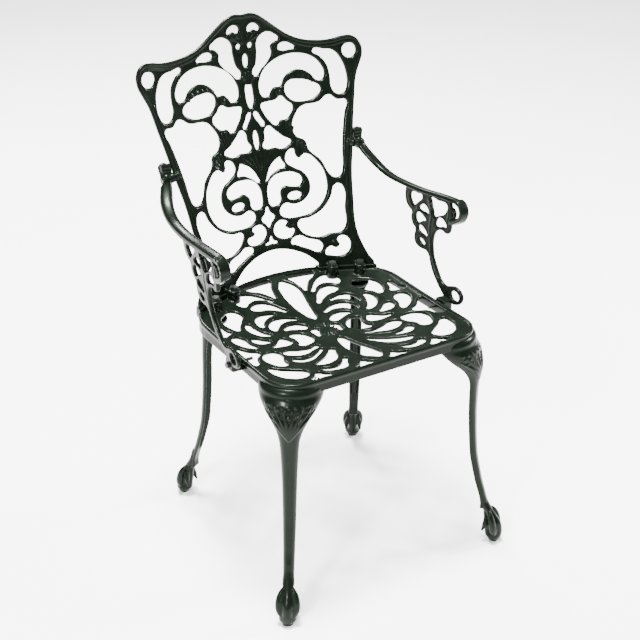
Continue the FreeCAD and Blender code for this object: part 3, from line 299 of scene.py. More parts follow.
# The arm from its side: distance back and height, with the line of its rail and of its front curl
ARM_OUTER = [(118, 617), (121, 605), (121, 594), (117, 580), (107, 571), (100, 567), (101, 556), (96, 542),
             (87, 534), (89, 522), (88, 509), (80, 500.5), (66, 498), (52, 498), (44, 492), (40, 481),
             (32, 464), (20, 448), (8, 435), (-3, 425), (-14, 417.5), (-28, 415), (-43, 417.5), (-54, 425),
             (-58, 436), (-54, 446), (-45, 452), (-34, 453.5), (-22, 450), (-11, 446.5), (0, 449),
             (10, 458), (20, 472), (29, 488), (33, 505), (34, 527), (29, 543), (20, 552), (8, 556),
             (-3, 553), (-11, 556), (-15, 565), (-16, 580), (-18, 600), (-15, 613), (-10, 626)]
ARM_TOP = [(-10, 626), (30, 623), (70, 620), (118, 617)]
ARM_OPENINGS = {
    "rail_bean": [(70, 608), (85, 609), (99, 608), (106, 600), (102, 587), (95, 581), (90, 584), (82, 592),
                  (73, 600)],
    "upper_eye": [(50, 577), (51, 585), (58, 591), (66, 592), (74, 587), (79, 580), (70, 577), (60, 577)],
    "crescent": [(57, 561), (64, 567), (72, 571), (80, 571), (87, 565), (88, 557), (84, 549), (77, 550),
                 (68, 556)],
    "lower_eye": [(51, 529), (54, 537), (62, 543), (70, 546), (77, 543), (79, 536), (72, 531), (62, 529)],
    "lower_slit": [(56, 512), (62, 517), (70, 519), (75, 516), (70, 510), (63, 507)],
    "front_loop": [(-3, 611), (-2, 600), (8, 588), (21, 582), (33, 577), (38, 590), (47, 610), (22, 613)],
    "front_ring": [(-3, 567), (2, 576), (12, 580), (21, 577), (27, 569), (28, 560), (22, 559), (10, 563)],
    "foot_ring": ellipse((-37, 434.5), 12, 10),
}
RAIL_LINE = [(-40, 626.5), (-28, 628), (-10, 627), (20, 624.5), (60, 620.5), (100, 618.6), (130, 618.6),
             (159, 620.4), (182.5, 625.5), (202, 633.7), (217.8, 644.4), (230.5, 656.4), (241, 668.7),
             (251, 683), (260, 700)]
RAIL_OUT = [0.3, 0.5, 0.3, -1, -4.2, -6.5, -8.7, -11.6, -14.3, -17.9, -22.8, -29.5, -35, -38.5, -36]
RAIL_WIDTH = [0.9, 0.95, 1, 1, 1, 1, 1, 1.02, 1.05, 1.1, 1.15, 1.1, 1, 1, 1]

# The front curl swells to a leaf nearly as wide as the rail, with a leaf below it and veins on both faces
CURL_LINE = [(-31, 627.5), (-41, 625), (-47.5, 617), (-48.5, 607), (-44, 597), (-35, 590), (-25, 584.5),
             (-13, 579)]
CURL_WIDTH = [0.92, 0.96, 0.96, 0.95, 0.9, 0.82, 0.7, 0.5]
ARM_LEAF = [(-15, 609), (-21, 606), (-24, 598), (-21, 588)]
ARM_LEAF_RADII = [3, 3.8, 3.6, 2.4]
ARM_VEINS = [
    [(40, 575), (43, 556), (42, 538), (40, 520), (37, 500), (27, 478), (12, 455)],
    [(48, 608), (43, 590), (40, 575)],
    [(-9, 606), (-9, 592), (-6, 580)],
]
ARM_VEIN_RADIUS = 1.7
ARM_VEIN_SINK = 0.8

# Sections, as shares of their width and height
STRAP_PROFILE = [(-0.5, -0.25), (-0.42, -0.5), (0.42, -0.5), (0.5, -0.25), (0.42, 0.28), (0.2, 0.5),
                 (-0.2, 0.5), (-0.42, 0.28)]
PAD_SECTION = [(-0.5, 0), (-0.5, 0.93), (-0.42, 1), (0.42, 1), (0.5, 0.93), (0.5, 0)]
LUG_SECTION = [(-0.5, -0.4), (-0.4, -0.5), (0.4, -0.5), (0.5, -0.4), (0.5, 0.4), (0.4, 0.5), (-0.4, 0.5),
               (-0.5, 0.4)]

# Heights up a leg, with its share of the knee's reach, half width and depth there
LEG_SHAFT = [(84, 0.36, 10.3, 12), (133, 0.6, 11, 12.5), (189, 0.82, 12.2, 13)]
LEG_STATIONS = {
    "front": LEG_SHAFT + [(268, 0.94, 13.8, 13), (320, 0.96, 16, 13.5), (345, 0.95, 18.5, 14),
                          (362, 0.94, 23.5, 18), (379, 0.93, 33, 27), (396, 0.97, 46, 41),
                          (412, 1.04, 55, 51)],
    "rear": LEG_SHAFT + [(268, 0.94, 12.5, 13), (345, 0.98, 12.5, 14), (379, 1, 14, 18),
                         (396, 1.02, 16, 23), (412, 1.07, 20, 28)],
}
LEG_TOP = {"front": (1.17, 58, 54), "rear": (1.17, 24, 30)}
LEG_LOWEST = LEG_SHAFT[0][0] - 14
LEG_HOLLOW_FROM = (112, 132)
KNEE_ROUND_FROM = (330, 360)

# Heights up a foot, with its middle, half length and half width there; the ankle runs out inside the shaft
FOOT_SOLE = (GLIDE_HEIGHT, -FOOT_INSET, 11, 11)
FOOT_STATIONS = [(84, -27, 8, 10.3), (68, -19, 10, 12), (56, -13, 14, 17), (42, -7, 18.5, 21.5),
                 (25, -4, 19.5, 20.5), (11, -3, 16, 17)]
ANKLE = (110, -31.5, 4, 8)
FOOT_SLIM_FROM = (8, 26)
FOOT_SLIM_TO = (62, 74)

# Lobes of a scroll foot: distance inwards of its middle, distance aside, height and radius
FOOT_LOBE = [(17, 6, 70, 3), (9, 12.5, 60, 5.5), (3.5, 15.5, 46, 7), (0.5, 14.5, 30, 7.2), (0, 8, 16, 6.5)]
FOOT_EAR = [(18, 10, 56, 4), (18, 14, 40, 5.5), (23, 16, 24, 2)]
TOE = (-1.5, 0, 15.2)
TOE_RADIUS = 12

# Leaf on a front knee: spread and length of its flutes, then the heights of the rows of buds over it
KNEE_FLUTES = ((0.1, 56), (0.4, 60), (0.72, 58), (1.05, 50))
KNEE_TIP = 350
FLUTE_RADII = [1, 2.2, 3, 2.8, 2.2, 1.2]
BUD_ROWS = (395, 404, 412)
BUD_SPREAD = 0.85
BUD_RADIUS = 2.7

# Carving on the right half of the back's front: tips and roots of its leaves, and the balls on its curls
FAN_TIPS = ((0, 681), (13, 680), (26, 677), (37, 672), (47, 667))
FAN_FOOT = 624
FAN_WAIST = 652
NECK_LEAVES = (((64, 701), (69, 728)), ((69, 700), (76, 725)), ((74, 698), (81, 716)))
WAIST_TIPS = ((86, 689), (93, 685), (99, 678), (103, 669))
WAIST_ROOT = (82, 660)
LID_LEAVES = 6
LID_START = 80
LID_STEP = 11
LID_TOP = (104, 806)
CREST_TIPS = ((6, 893), (18, 895), (30, 892))
CREST_ROOT = (3, 880)
POST_TIPS = ((0, 828), (7, 826), (13, 820))
POST_ROOT = 803
BACK_BALLS = (((60, 781.5), 6.5), ((67, 866), 4.5), ((129, 488), 6.5), ((47, 534), 5), ((0, 648), 5))


def mirrored(points):
    """The points on the other side of the middle, in turned order, so that the two join in one loop."""
    return [(-x, y) for x, y in reversed(points)]


def blend(knots, share, closed=False):
    """Smooth curve through knots of any number of values, from its start at 0 to its end at 1."""
    count = len(knots) if closed else len(knots) - 1
    spot = min(max(share, 0), 1) * count
    k = min(int(spot), count - 1)
    t = spot - k
    near = []
    for i in range(k - 1, k + 3):
        near.append(knots[i % len(knots)] if closed else knots[min(max(i, 0), count)])
    return [q + 0.5 * t * (r - p + t * (2 * p - 5 * q + 4 * r - s + t * (3 * (q - r) + s - p)))
            for p, q, r, s in zip(*near)]


def at_height(stations, height):
    """The values of the stations, eased in between, at a height."""
    stations = sorted(stations)
    for k in range(len(stations) - 1):
        if height <= stations[k + 1][0] or k == len(stations) - 2:
            t = (height - stations[k][0]) / (stations[k + 1][0] - stations[k][0])
            return blend(stations, (k + min(max(t, 0), 1)) / (len(stations) - 1))


def eased(value, low, high):
    """0 below the low mark, 1 above the high one, and a soft step in between."""
    t = min(max((value - low) / (high - low), 0), 1)
    return t * t * (3 - 2 * t)


def inset_line(points, distance):
    """The line moved to its left."""
    shifted = []
    for k, (x, y) in enumerate(points):
        before = points[max(k - 1, 0)]
        after = points[min(k + 1, len(points) - 1)]
        run = math.hypot(after[0] - before[0], after[1] - before[1])
        shifted.append((x - distance * (after[1] - before[1]) / run,
                        y + distance * (after[0] - before[0]) / run))
    return shifted


def keep_mesh(name, mesh):
    """Object of a mesh, in the scene."""
    made = bpy.data.objects.new(name, mesh)
    bpy.context.scene.collection.objects.link(made)
    return made


def settled(source):
    """The object with its modifiers or its curve turned into a plain mesh."""
    bpy.context.view_layer.update()
    graph = bpy.context.evaluated_depsgraph_get()
    mesh = bpy.data.meshes.new_from_object(source.evaluated_get(graph))
    mesh.transform(source.matrix_world)
    made = keep_mesh(source.name, mesh)
    bpy.data.objects.remove(source)
    return made


def smooth_spline(curve, points, cyclic=True):
    """Adds a smooth line through the points, given in millimetres, to a curve."""
    spline = curve.splines.new("BEZIER")
    spline.bezier_points.add(len(points) - 1)
    for knot, point in zip(spline.bezier_points, points):
        knot.co = (point[0] * MM, point[1] * MM, point[2] * MM if len(point) > 2 else 0)
        knot.handle_left_type = "AUTO"
        knot.handle_right_type = "AUTO"
    spline.use_cyclic_u = cyclic
    return spline


def flat_plate(name, loops, thickness):
    """Plate with the first loop as its outline and the others as openings, flat on the ground."""
    curve = bpy.data.curves.new(name, "CURVE")
    curve.dimensions = "2D"
    curve.fill_mode = "BOTH"
    curve.resolution_u = 5
    curve.extrude = thickness * MM / 2
    for loop in loops:
        smooth_spline(curve, loop)
    plate = bpy.data.objects.new(name, curve)
    bpy.context.scene.collection.objects.link(plate)
    return settled(plate)


def edge_tree(loops):
    """Points along the loops, close together, to measure how far a place is from an edge."""
    curve = bpy.data.curves.new("edges", "CURVE")
    curve.dimensions = "3D"
    curve.resolution_u = EDGE_STEPS
    for loop in loops:
        smooth_spline(curve, loop)
    outline = bpy.data.objects.new("edges", curve)
    bpy.context.scene.collection.objects.link(outline)
    outline = settled(outline)
    tree = KDTree(len(outline.data.vertices))
    for k, vertex in enumerate(outline.data.vertices):
        tree.insert(vertex.co, k)
    tree.balance()
    bpy.data.objects.remove(outline)
    return tree


def recast(piece, voxel, rounds=1):
    """One closed skin over all the shells of a piece, its sharp edges eased as sand casting eases them."""
    remesh = piece.modifiers.new("skin", "REMESH")
    remesh.mode = "VOXEL"
    remesh.voxel_size = voxel
    remesh.adaptivity = 0
    made = settled(piece)
    shell = bmesh.new()
    shell.from_mesh(made.data)
    for _ in range(rounds):
        bmesh.ops.smooth_vert(shell, verts=shell.verts, factor=0.5, use_axis_x=True, use_axis_y=True,
                              use_axis_z=True)
    shell.to_mesh(made.data)
    shell.free()
    return made


def joined(name, pieces):
    """All the pieces in one mesh."""
    whole = bmesh.new()
    for piece in pieces:
        whole.from_mesh(piece.data)
        bpy.data.objects.remove(piece)
    mesh = bpy.data.meshes.new(name)
    whole.to_mesh(mesh)
    whole.free()
    return keep_mesh(name, mesh)


def moved(piece, place):
    """Moves every vertex to where the function puts it."""
    for vertex in piece.data.vertices:
        vertex.co = place(vertex.co)
    piece.data.update()
    return piece


def crowned(piece, loops, round_over, groove):
    """Rounds the ribs: full thickness away from an edge, a share of it there, a groove along the middle."""
    tree = edge_tree(loops)

    def place(point):
        away = tree.find((point.x, point.y, 0))[2] / MM
        rest = 1 - min(away / round_over, 1)
        share = EDGE_SHARE + (1 - EDGE_SHARE) * math.sqrt(max(0, 1 - rest * rest))
        share -= groove * eased(away, round_over, round_over + GROOVE_RUN)
        return Vector((point.x, point.y, point.z * share))

    return moved(piece, place)


def stroke(name, points, radii):
    """Round bead along the points, as thick as the radii say, in millimetres."""
    curve = bpy.data.curves.new(name, "CURVE")
    curve.dimensions = "3D"
    curve.resolution_u = 6
    curve.bevel_depth = MM
    curve.bevel_resolution = 3
    curve.use_fill_caps = True
    spline = smooth_spline(curve, points, cyclic=False)
    for k, knot in enumerate(spline.bezier_points):
        knot.radius = blend([(radius,) for radius in radii], k / (len(points) - 1))[0]
    made = bpy.data.objects.new(name, curve)
    bpy.context.scene.collection.objects.link(made)
    return settled(made)


def ball(name, centre, radius, squash=1.0):
    """Round end of a curl, flattened along its third axis."""
    lump = bmesh.new()
    bmesh.ops.create_uvsphere(lump, u_segments=20, v_segments=12, radius=radius * MM)
    for vertex in lump.verts:
        vertex.co.z *= squash
        vertex.co += Vector(centre) * MM
    mesh = bpy.data.meshes.new(name)
    lump.to_mesh(mesh)
    lump.free()
    return keep_mesh(name, mesh)


def skinned(name, across, along, place):
    """Body whose skin is a grid: the first share goes round it and the second runs along it."""
    skin = bmesh.new()
    bmesh.ops.create_grid(skin, x_segments=across, y_segments=along, size=0.5)
    for vertex in skin.verts:
        vertex.co = Vector(place(vertex.co.x + 0.5, vertex.co.y + 0.5)) * MM
    bmesh.ops.remove_doubles(skin, verts=skin.verts, dist=0.01 * MM)
    bmesh.ops.holes_fill(skin, edges=skin.edges, sides=0)
    bmesh.ops.recalc_face_normals(skin, faces=skin.faces)
    mesh = bpy.data.meshes.new(name)
    skin.to_mesh(mesh)
    skin.free()
    return keep_mesh(name, mesh)


def turned(name, profile, base, axis):
    """Round body with the profile of radii and heights, standing on the base along the axis."""
    stand = Vector(axis).normalized().to_track_quat("Z", "Y")

    def place(u, v):
        radius, height = profile[round(v * (len(profile) - 1))]
        turn = 2 * math.pi * u
        return Vector(base) + stand @ Vector((radius * math.cos(turn), radius * math.sin(turn), height))

    return skinned(name, ROUND_STEPS, len(profile) - 1, place)


def lightened(piece, limit):
    """Fewer triangles where the surface is smooth."""
    piece.data.calc_loop_triangles()
    count = len(piece.data.loop_triangles)
    if count > limit:
        thin = piece.modifiers.new("thin", "DECIMATE")
        thin.ratio = limit / count
        piece = settled(piece)
    return piece


def finished(piece, name, nodes, material):
    """Gives a piece its name, its material and its place in the frame."""
    piece.name = name
    piece.data.name = name
    piece.data.materials.clear()
    piece.data.materials.append(material)
    piece.data.shade_smooth()
    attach(piece, "root")
    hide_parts(*nodes)


def finished_pair(piece, name, node, material):
    """The right piece and its mirror image on the left."""
    other = piece.copy()
    other.data = piece.data.copy()
    bpy.context.scene.collection.objects.link(other)
    other.data.transform(Matrix.Scale(-1, 4, (1, 0, 0)))
    other.data.flip_normals()
    finished(piece, name % "right", [node % "right"], material)
    finished(other, name % "left", [node % "left"], material)


def back_depth(x, height):
    """Middle of the back's plate behind the datum."""
    share = (height - PAD_TOP) / BACK_HEIGHT
    rest = 1 - share
    foot, low, high, crest = (BACK_FOOT_DEPTH + sweep for sweep in BACK_SWEEP)
    pull = foot * rest ** 3 + 3 * low * rest ** 2 * share + 3 * high * rest * share ** 2 + crest * share ** 3
    bow = BOW_FOOT + (BOW_CREST - BOW_FOOT) * share - 4 * BOW_RELIEF * share * rest
    return pull - bow * (x / BOW_REACH) ** 2


def on_back(point):
    """From the flat drawing, thickness upwards, to the bowed and swept back."""
    x = point.x / MM * BACK_SCALE
    height = PAD_TOP + point.y / MM - BACK_DRAWN_FOOT
    return Vector((x, back_depth(x, height) - point.z / MM, height)) * MM


def seat_height(x, y):
    """Middle of the seat's plate above the ground."""
    half = SEAT_WIDTH / 2 + BOWL_MARGIN
    along = (y + SEAT_FRONT + BOWL_MARGIN) / (SEAT_REAR + SEAT_FRONT + 2 * BOWL_MARGIN)
    rest = 1 - along
    across = 1 - (x / half) ** 2
    bowl = 2 * along * rest ** 3 + 12 * along ** 2 * rest ** 2 + 2 * along ** 3 * rest
    rise = 6 * -0.17 * along ** 2 * rest ** 2 + 4 * 0.33 * along ** 3 * rest + along ** 4
    return RIM_HEIGHT + REAR_RISE * rise - BOWL_DEPTH * bowl * across


def on_seat(point):
    """From the flat drawing, thickness upwards, to the dished seat."""
    x = point.x / MM
    y = point.y / MM
    return Vector((x, y, seat_height(x, y) + point.z / MM)) * MM


def arc(start, middle, end, steps):
    """Points on the round arc through three points, without its end."""
    a, b, c = (Vector((p[0], p[1])) for p in (start, middle, end))
    turn = 2 * ((b - a).x * (c - a).y - (b - a).y * (c - a).x)
    ab = (b - a).length_squared
    ac = (c - a).length_squared
    centre = a + Vector((ab * (c - a).y - ac * (b - a).y, ac * (b - a).x - ab * (c - a).x)) / turn
    sweep = (a - centre).angle_signed(c - centre)
    if sweep * turn > 0:
        sweep -= math.copysign(2 * math.pi, sweep)
    points = []
    for k in range(steps):
        spoke = (a - centre).copy()
        spoke.rotate(Matrix.Rotation(-sweep * k / steps, 2))
        points.append(tuple(centre + spoke))
    return points


def seat_outline(inset):
    """Right half of the seat's outline, from the front's middle to the rear's."""
    half = SEAT_WIDTH / 2 - inset
    front = inset - SEAT_FRONT
    radius = CORNER_RADIUS - inset
    corner = math.sqrt(0.5) * radius
    shift = inset * math.sqrt(0.5)
    rear_corner = (REAR_CORNER[0] - shift * 0.6, REAR_CORNER[1] - shift * 1.2)
    shoulder = (REAR_SHOULDER[0] - shift * 1.15, REAR_SHOULDER[1] - shift * 0.75)
    points = [(0, front), (half - radius, front)]
    points += arc((half - radius, front), (half - radius + corner, front + radius - corner),
                  (half, front + radius), 8)[1:]
    points += [(half, front + radius)] + [(half, y) for y in SIDE_KNOTS]
    points += arc((half, SIDE_END), shoulder, rear_corner, 6)
    points += arc(rear_corner, (0, SEAT_REAR - inset), (-rear_corner[0], rear_corner[1]), 10)[:5]
    return points + [(0, SEAT_REAR - inset)]


def whole_outline(inset):
    """The whole outline with its long straight runs cut into even steps."""
    half = seat_outline(inset)
    corners = half + mirrored(half[1:-1])
    points = []
    for k, (x, y) in enumerate(corners):
        ahead = corners[(k + 1) % len(corners)]
        steps = max(1, round(math.dist((x, y), ahead) / OUTLINE_STEP))
        points += [(x + (ahead[0] - x) * n / steps, y + (ahead[1] - y) * n / steps) for n in range(steps)]
    return points


def from_foot(end, reach):
    """Place on a leg's line, the given distance inwards of its foot."""
    at = LEG_ENDS[end]
    turn = math.radians(at["splay"])
    return Vector((at["half"] - reach * math.cos(turn), at["depth"] - reach * math.sin(turn), 0))


def lug_place(half):
    """Middle of a lug of the back, ahead of the place where it grows from the back's foot."""
    turn = math.atan(2 * BOW_FOOT * half / BOW_REACH ** 2)
    return half - LUG_REACH * math.sin(turn), back_depth(half, PAD_TOP) - LUG_REACH * math.cos(turn)


def stile_place():
    """Where the arm's boss meets the stile, and the way outwards and down in which its bolt's axis points."""
    low, high = BACK_SIDE[7:9]
    low_height = PAD_TOP + low[1] - BACK_DRAWN_FOOT
    slope = (high[0] - low[0]) * BACK_SCALE / (high[1] - low[1])
    x = low[0] * BACK_SCALE + (ARM_BOLT_HEIGHT - low_height) * slope
    tilt = math.atan(slope)
    place = Vector((x + BOSS_PROUD, back_depth(x, ARM_BOLT_HEIGHT), ARM_BOLT_HEIGHT))
    return place, Vector((math.cos(tilt), 0, -math.sin(tilt)))


def arm_point(y, height, x):
    """From the drawn side of the arm to the chair's height."""
    return Vector((x, y, ARM_HEIGHT + (height - ARM_DRAWN_RAIL) * ARM_SCALE))


def arm_lean(height):
    """How far inwards the leaning arm is at a height."""
    return (ARM_HEIGHT - height) * (ARM_HALF - ARM_FOOT_HALF) / (ARM_HEIGHT - RIM_MIDDLE)


def leaned(points):
    """The drawn side of the arm, drawn out forwards and shortened towards its foot."""
    return [(y - ARM_FOOT_DRAWN_AHEAD * (ARM_DRAWN_RAIL - z), z + ARM_FOOT_DRAWN_UP * (ARM_DRAWN_RAIL - z))
            for y, z in points]


def on_arm(point):
    """From the flat drawing to the arm's upright plane, thickness outwards, leaning inwards to its foot."""
    flat = arm_point(point.x / MM, point.y / MM, point.z / MM)
    turned_in = Matrix.Rotation(ARM_TOE_IN, 3, "Z") @ flat
    return (turned_in + Vector((ARM_HALF - arm_lean(flat.z), 0, 0))) * MM


def strap_place(line, widths, thick, bead):
    """Skin of a crowned strap along the line, tilted outwards where it runs level, its edge beaded."""
    def place(u, v):
        middle = Vector(blend(line, v))
        along = (Vector(blend(line, min(v + 0.01, 1))) - Vector(blend(line, max(v - 0.01, 0)))).normalized()
        across = Vector((1, -along.x * along.y, 0)).normalized()
        across = (across - along * across.dot(along)).normalized()
        upward = across.cross(along).normalized()
        level = RAIL_TILT * max(0, upward.z) ** 2
        out = across * math.cos(level) - upward * math.sin(level)
        crown = across * math.sin(level) + upward * math.cos(level)
        wide = blend([(width,) for width in widths], v)[0]
        wide *= math.sqrt(max(0.01, 1 - max(0, (v - 0.955) / 0.045) ** 2))
        aside, above = blend(STRAP_PROFILE, u, closed=True)
        swell = bead * max(0, 1 - ((aside - 0.47) ** 2 + (above + 0.3) ** 2) / 0.03)
        return middle + out * ((aside * RAIL_SPAN + swell) * wide) + crown * (above * thick - swell * 0.4)

    return place


def leg_place(end, inward, aside, height):
    """From the distances inwards of the foot and across the leg's line to the chair."""
    at = LEG_ENDS[end]
    turn = math.radians(at["splay"])
    outward = Vector((math.cos(turn), math.sin(turn), 0))
    across = outward.cross(Vector((0, 0, 1)))
    return Vector((at["half"], at["depth"], height)) - outward * inward + across * aside


def leg_station(end, height):
    """Reach, half width and depth of the leg's channel at a height."""
    knee = LEG_ENDS[end]["knee"]
    stations = LEG_STATIONS[end] + [(RIM_BOTTOM,) + LEG_TOP[end]]
    _, share, wide, deep = at_height(stations, height)
    return share * knee, wide, deep


def leg_front(end, turn, height, proud):
    """Place on the outer face of the leg, turned away from its middle line."""
    reach, wide, deep = leg_station(end, height)
    inward = reach + deep - (deep + proud) * math.cos(turn)
    return leg_place(end, inward, (wide + proud) * math.sin(turn), height)


def linear(colour):
    """Linear colour of sRGB values."""
    return [v / 12.92 if v <= 0.04045 else ((v + 0.055) / 1.055) ** 2.4 for v in colour] + [1.0]


def shade(code):
    """sRGB values of a hex code."""
    return tuple(int(code[k:k + 2], 16) / 255 for k in (1, 3, 5))


def per(size):
    """Pattern scale for a feature of so many millimetres."""
    return 1000 / size


def add_node(tree, kind, settings=None, links=None):
    """Adds a node with its values and with links from sockets of other nodes."""
    node = tree.nodes.new(kind)
    for key, value in (settings or {}).items():
        if hasattr(node, key):
            setattr(node, key, value)
        else:
            node.inputs[key].default_value = value
    for key, socket in (links or {}).items():
        tree.links.new(socket, node.inputs[key])
    return node


def finish_of(name, dark, light, patch, grain, depth, roughness, coat=0.0, sheen=0.5, tint=(1, 1, 1, 1)):
    """Two close tones in patches and a grain, by their sizes in millimetres, with the real one's shine."""
    known = bpy.data.materials.get(name)
    if known:
        return known
    material = bpy.data.materials.new(name)
    material.use_nodes = True
    tree = material.node_tree
    shader = tree.nodes["Principled BSDF"]
    where = add_node(tree, "ShaderNodeTexCoord")
    patches = add_node(tree, "ShaderNodeTexNoise", {"Scale": per(patch), "Detail": 4.0},
                       {"Vector": where.outputs["Object"]})
    tone = add_node(tree, "ShaderNodeMix", {"data_type": "RGBA"}, {"Factor": patches.outputs["Fac"]})
    tone.inputs["A"].default_value = linear(dark)
    tone.inputs["B"].default_value = linear(light)
    tree.links.new(tone.outputs["Result"], shader.inputs["Base Color"])
    worn = add_node(tree, "ShaderNodeMapRange", {"To Min": roughness * 0.8, "To Max": roughness * 1.3},
                    {"Value": patches.outputs["Fac"]})
    tree.links.new(worn.outputs["Result"], shader.inputs["Roughness"])
    shader.inputs["Coat Weight"].default_value = coat
    shader.inputs["Coat Roughness"].default_value = 0.08
    shader.inputs["Specular IOR Level"].default_value = sheen
    shader.inputs["Specular Tint"].default_value = tint
    fine = add_node(tree, "ShaderNodeTexNoise", {"Scale": per(grain), "Detail": 3.0},
                    {"Vector": where.outputs["Object"]})
    bump = add_node(tree, "ShaderNodeBump", {"Strength": 0.5, "Distance": depth * MM},
                    {"Height": fine.outputs["Fac"]})
    tree.links.new(bump.outputs["Normal"], shader.inputs["Normal"])
    return material


def enamel():
    # Dark green gloss paint on sand-cast iron: near black in the hollows, wet glints on the raised edges
    look = bpy.context.scene.armchair_finish
    return finish_of("gloss_green_paint_on_cast_iron", look.paint_dark, look.paint_light, patch=24, grain=4.5,
                     depth=0.07, roughness=0.3, coat=0.05, sheen=0.07, tint=(0.86, 1, 0.84, 1))


def rubber():
    # Moulded black rubber: soft dull sheen without glints
    return finish_of("moulded_black_rubber", shade("#0b0b0b"), shade("#141414"), patch=9, grain=1.2,
                     depth=0.05, roughness=0.75)


def bolt_paint():
    # Steel bolt heads painted over with the chair: the same green, smoother, with broad soft glints
    look = bpy.context.scene.armchair_finish
    return finish_of("green_paint_on_steel", look.paint_dark, look.paint_light, patch=3, grain=0.8,
                     depth=0.02, roughness=0.42, sheen=0.3)


def paper():
    # Pale matt backdrop paper: even and almost white, with soft shadows and no glints
    tone = bpy.context.scene.armchair_finish.floor
    return finish_of("matt_backdrop_paper", tone, tone, patch=400, grain=40, depth=0.01, roughness=0.6)


class ArmchairSizes(bpy.types.PropertyGroup):
    """Sizes of the castings' skins"""
    voxel: FloatProperty(name="Skin", description="Spacing of the cast skin's points", default=0.0011,
                         unit="LENGTH")
    back_thickness: FloatProperty(name="Back", description="Thickness of the back's ribs", default=0.009,
                                  unit="LENGTH")
    seat_thickness: FloatProperty(name="Seat", description="Thickness of the seat's ribs", default=0.007,
                                  unit="LENGTH")
    arm_thickness: FloatProperty(name="Arm", description="Thickness of the arms' ribs", default=0.008,
                                 unit="LENGTH")
    bead: FloatProperty(name="Bead", description="Radius of the raised beads", default=0.0018, unit="LENGTH")
    round_over: FloatProperty(name="Round-over", description="Width over which the ribs are rounded",
                              default=0.0032, unit="LENGTH")


class ArmchairFinish(bpy.types.PropertyGroup):
    """Colours of the armchair and its room"""
    paint_dark: FloatVectorProperty(name="Paint, darker", description="Darker tone of the paint",
                                    default=shade("#030604"), subtype="COLOR_GAMMA")
    paint_light: FloatVectorProperty(name="Paint, lighter", description="Lighter tone of the paint",
                                     default=shade("#0b120b"), subtype="COLOR_GAMMA")
    floor: FloatVectorProperty(name="Floor", description="Pale floor", default=shade("#fbfbfa"),
                               subtype="COLOR_GAMMA")


def flat_strokes(kind, lines, height):
    """Raised lines on the front face of a flat pattern, mirrored where they lie off its axis."""
    made = []
    for k, (points, radii) in enumerate(lines):
        for side in (1, -1):
            laid = [(side * x, y, height) for x, y in points]
            made.append(stroke("%s_%d" % (kind, k), laid, radii))
            if max(abs(x) for x, _ in points) < 0.5:
                break
    return made


def back_relief(bead):
    """Ridges and leaves cast on the front of the back, as lines with their radii."""
    lines = [(inset_line(BACK_SIDE[:13], 3.6), [bead]), (inset_line(BACK_SIDE[:11], 10.5), [bead]),
             (inset_line(BACK_SIDE[12:], 3.8), [bead]), (inset_line(BACK_SIDE[14:20], 10), [bead])]
    for tip in FAN_TIPS:
        lines.append(([(tip[0] * 0.12, FAN_FOOT), (tip[0] * 0.45, FAN_WAIST), tip], [1, 1.7, 1.4]))
    for root, tip in NECK_LEAVES:
        lines.append(([root, tip], [1.6, 2.6]))
    for tip in WAIST_TIPS:
        lines.append(([WAIST_ROOT, tip], [1.4, 2.8]))
    for k in range(LID_LEAVES):
        x = LID_START + LID_STEP * k
        y = LID_TOP[1] - 0.012 * (x - LID_TOP[0]) ** 2
        lines.append(([(x - 4, y - 2), (x + 3, y + 4)], [1.4, 2.1]))
    for tip in CREST_TIPS:
        lines.append(([CREST_ROOT, tip], [1.4, 2.2]))
    for tip in POST_TIPS:
        lines.append(([(tip[0] * 0.2, POST_ROOT), tip], [1.4, 2.4]))
    return lines


def back_lug(way, half):
    """Eye of a lug at the back's foot and the two webs that carry it."""
    x, y = lug_place(half)
    ring = [(LUG_BORE_RADIUS, 0), (LUG_RADIUS, 0), (LUG_RADIUS, LUG_THICKNESS - LUG_CHAMFER),
            (LUG_RADIUS - LUG_CHAMFER, LUG_THICKNESS), (LUG_BORE_RADIUS, LUG_THICKNESS), (LUG_BORE_RADIUS, 0)]
    made = [turned("lug", ring, (way * x, y, PAD_TOP), (0, 0, 1))]
    root = Vector((way * half, back_depth(half, PAD_TOP), PAD_TOP + WEB_RISE))
    lug = Vector((way * x, y, PAD_TOP + WEB_RISE))
    aim = (root - lug).normalized()
    square = Vector((-aim.y, aim.x, 0))
    for shift in (-WEB_HALF_SPREAD, WEB_HALF_SPREAD):
        web = [lug + aim * WEB_START + square * shift, root + square * shift]
        made.append(stroke("lug_web", web, [WEB_RADIUS]))
    return made


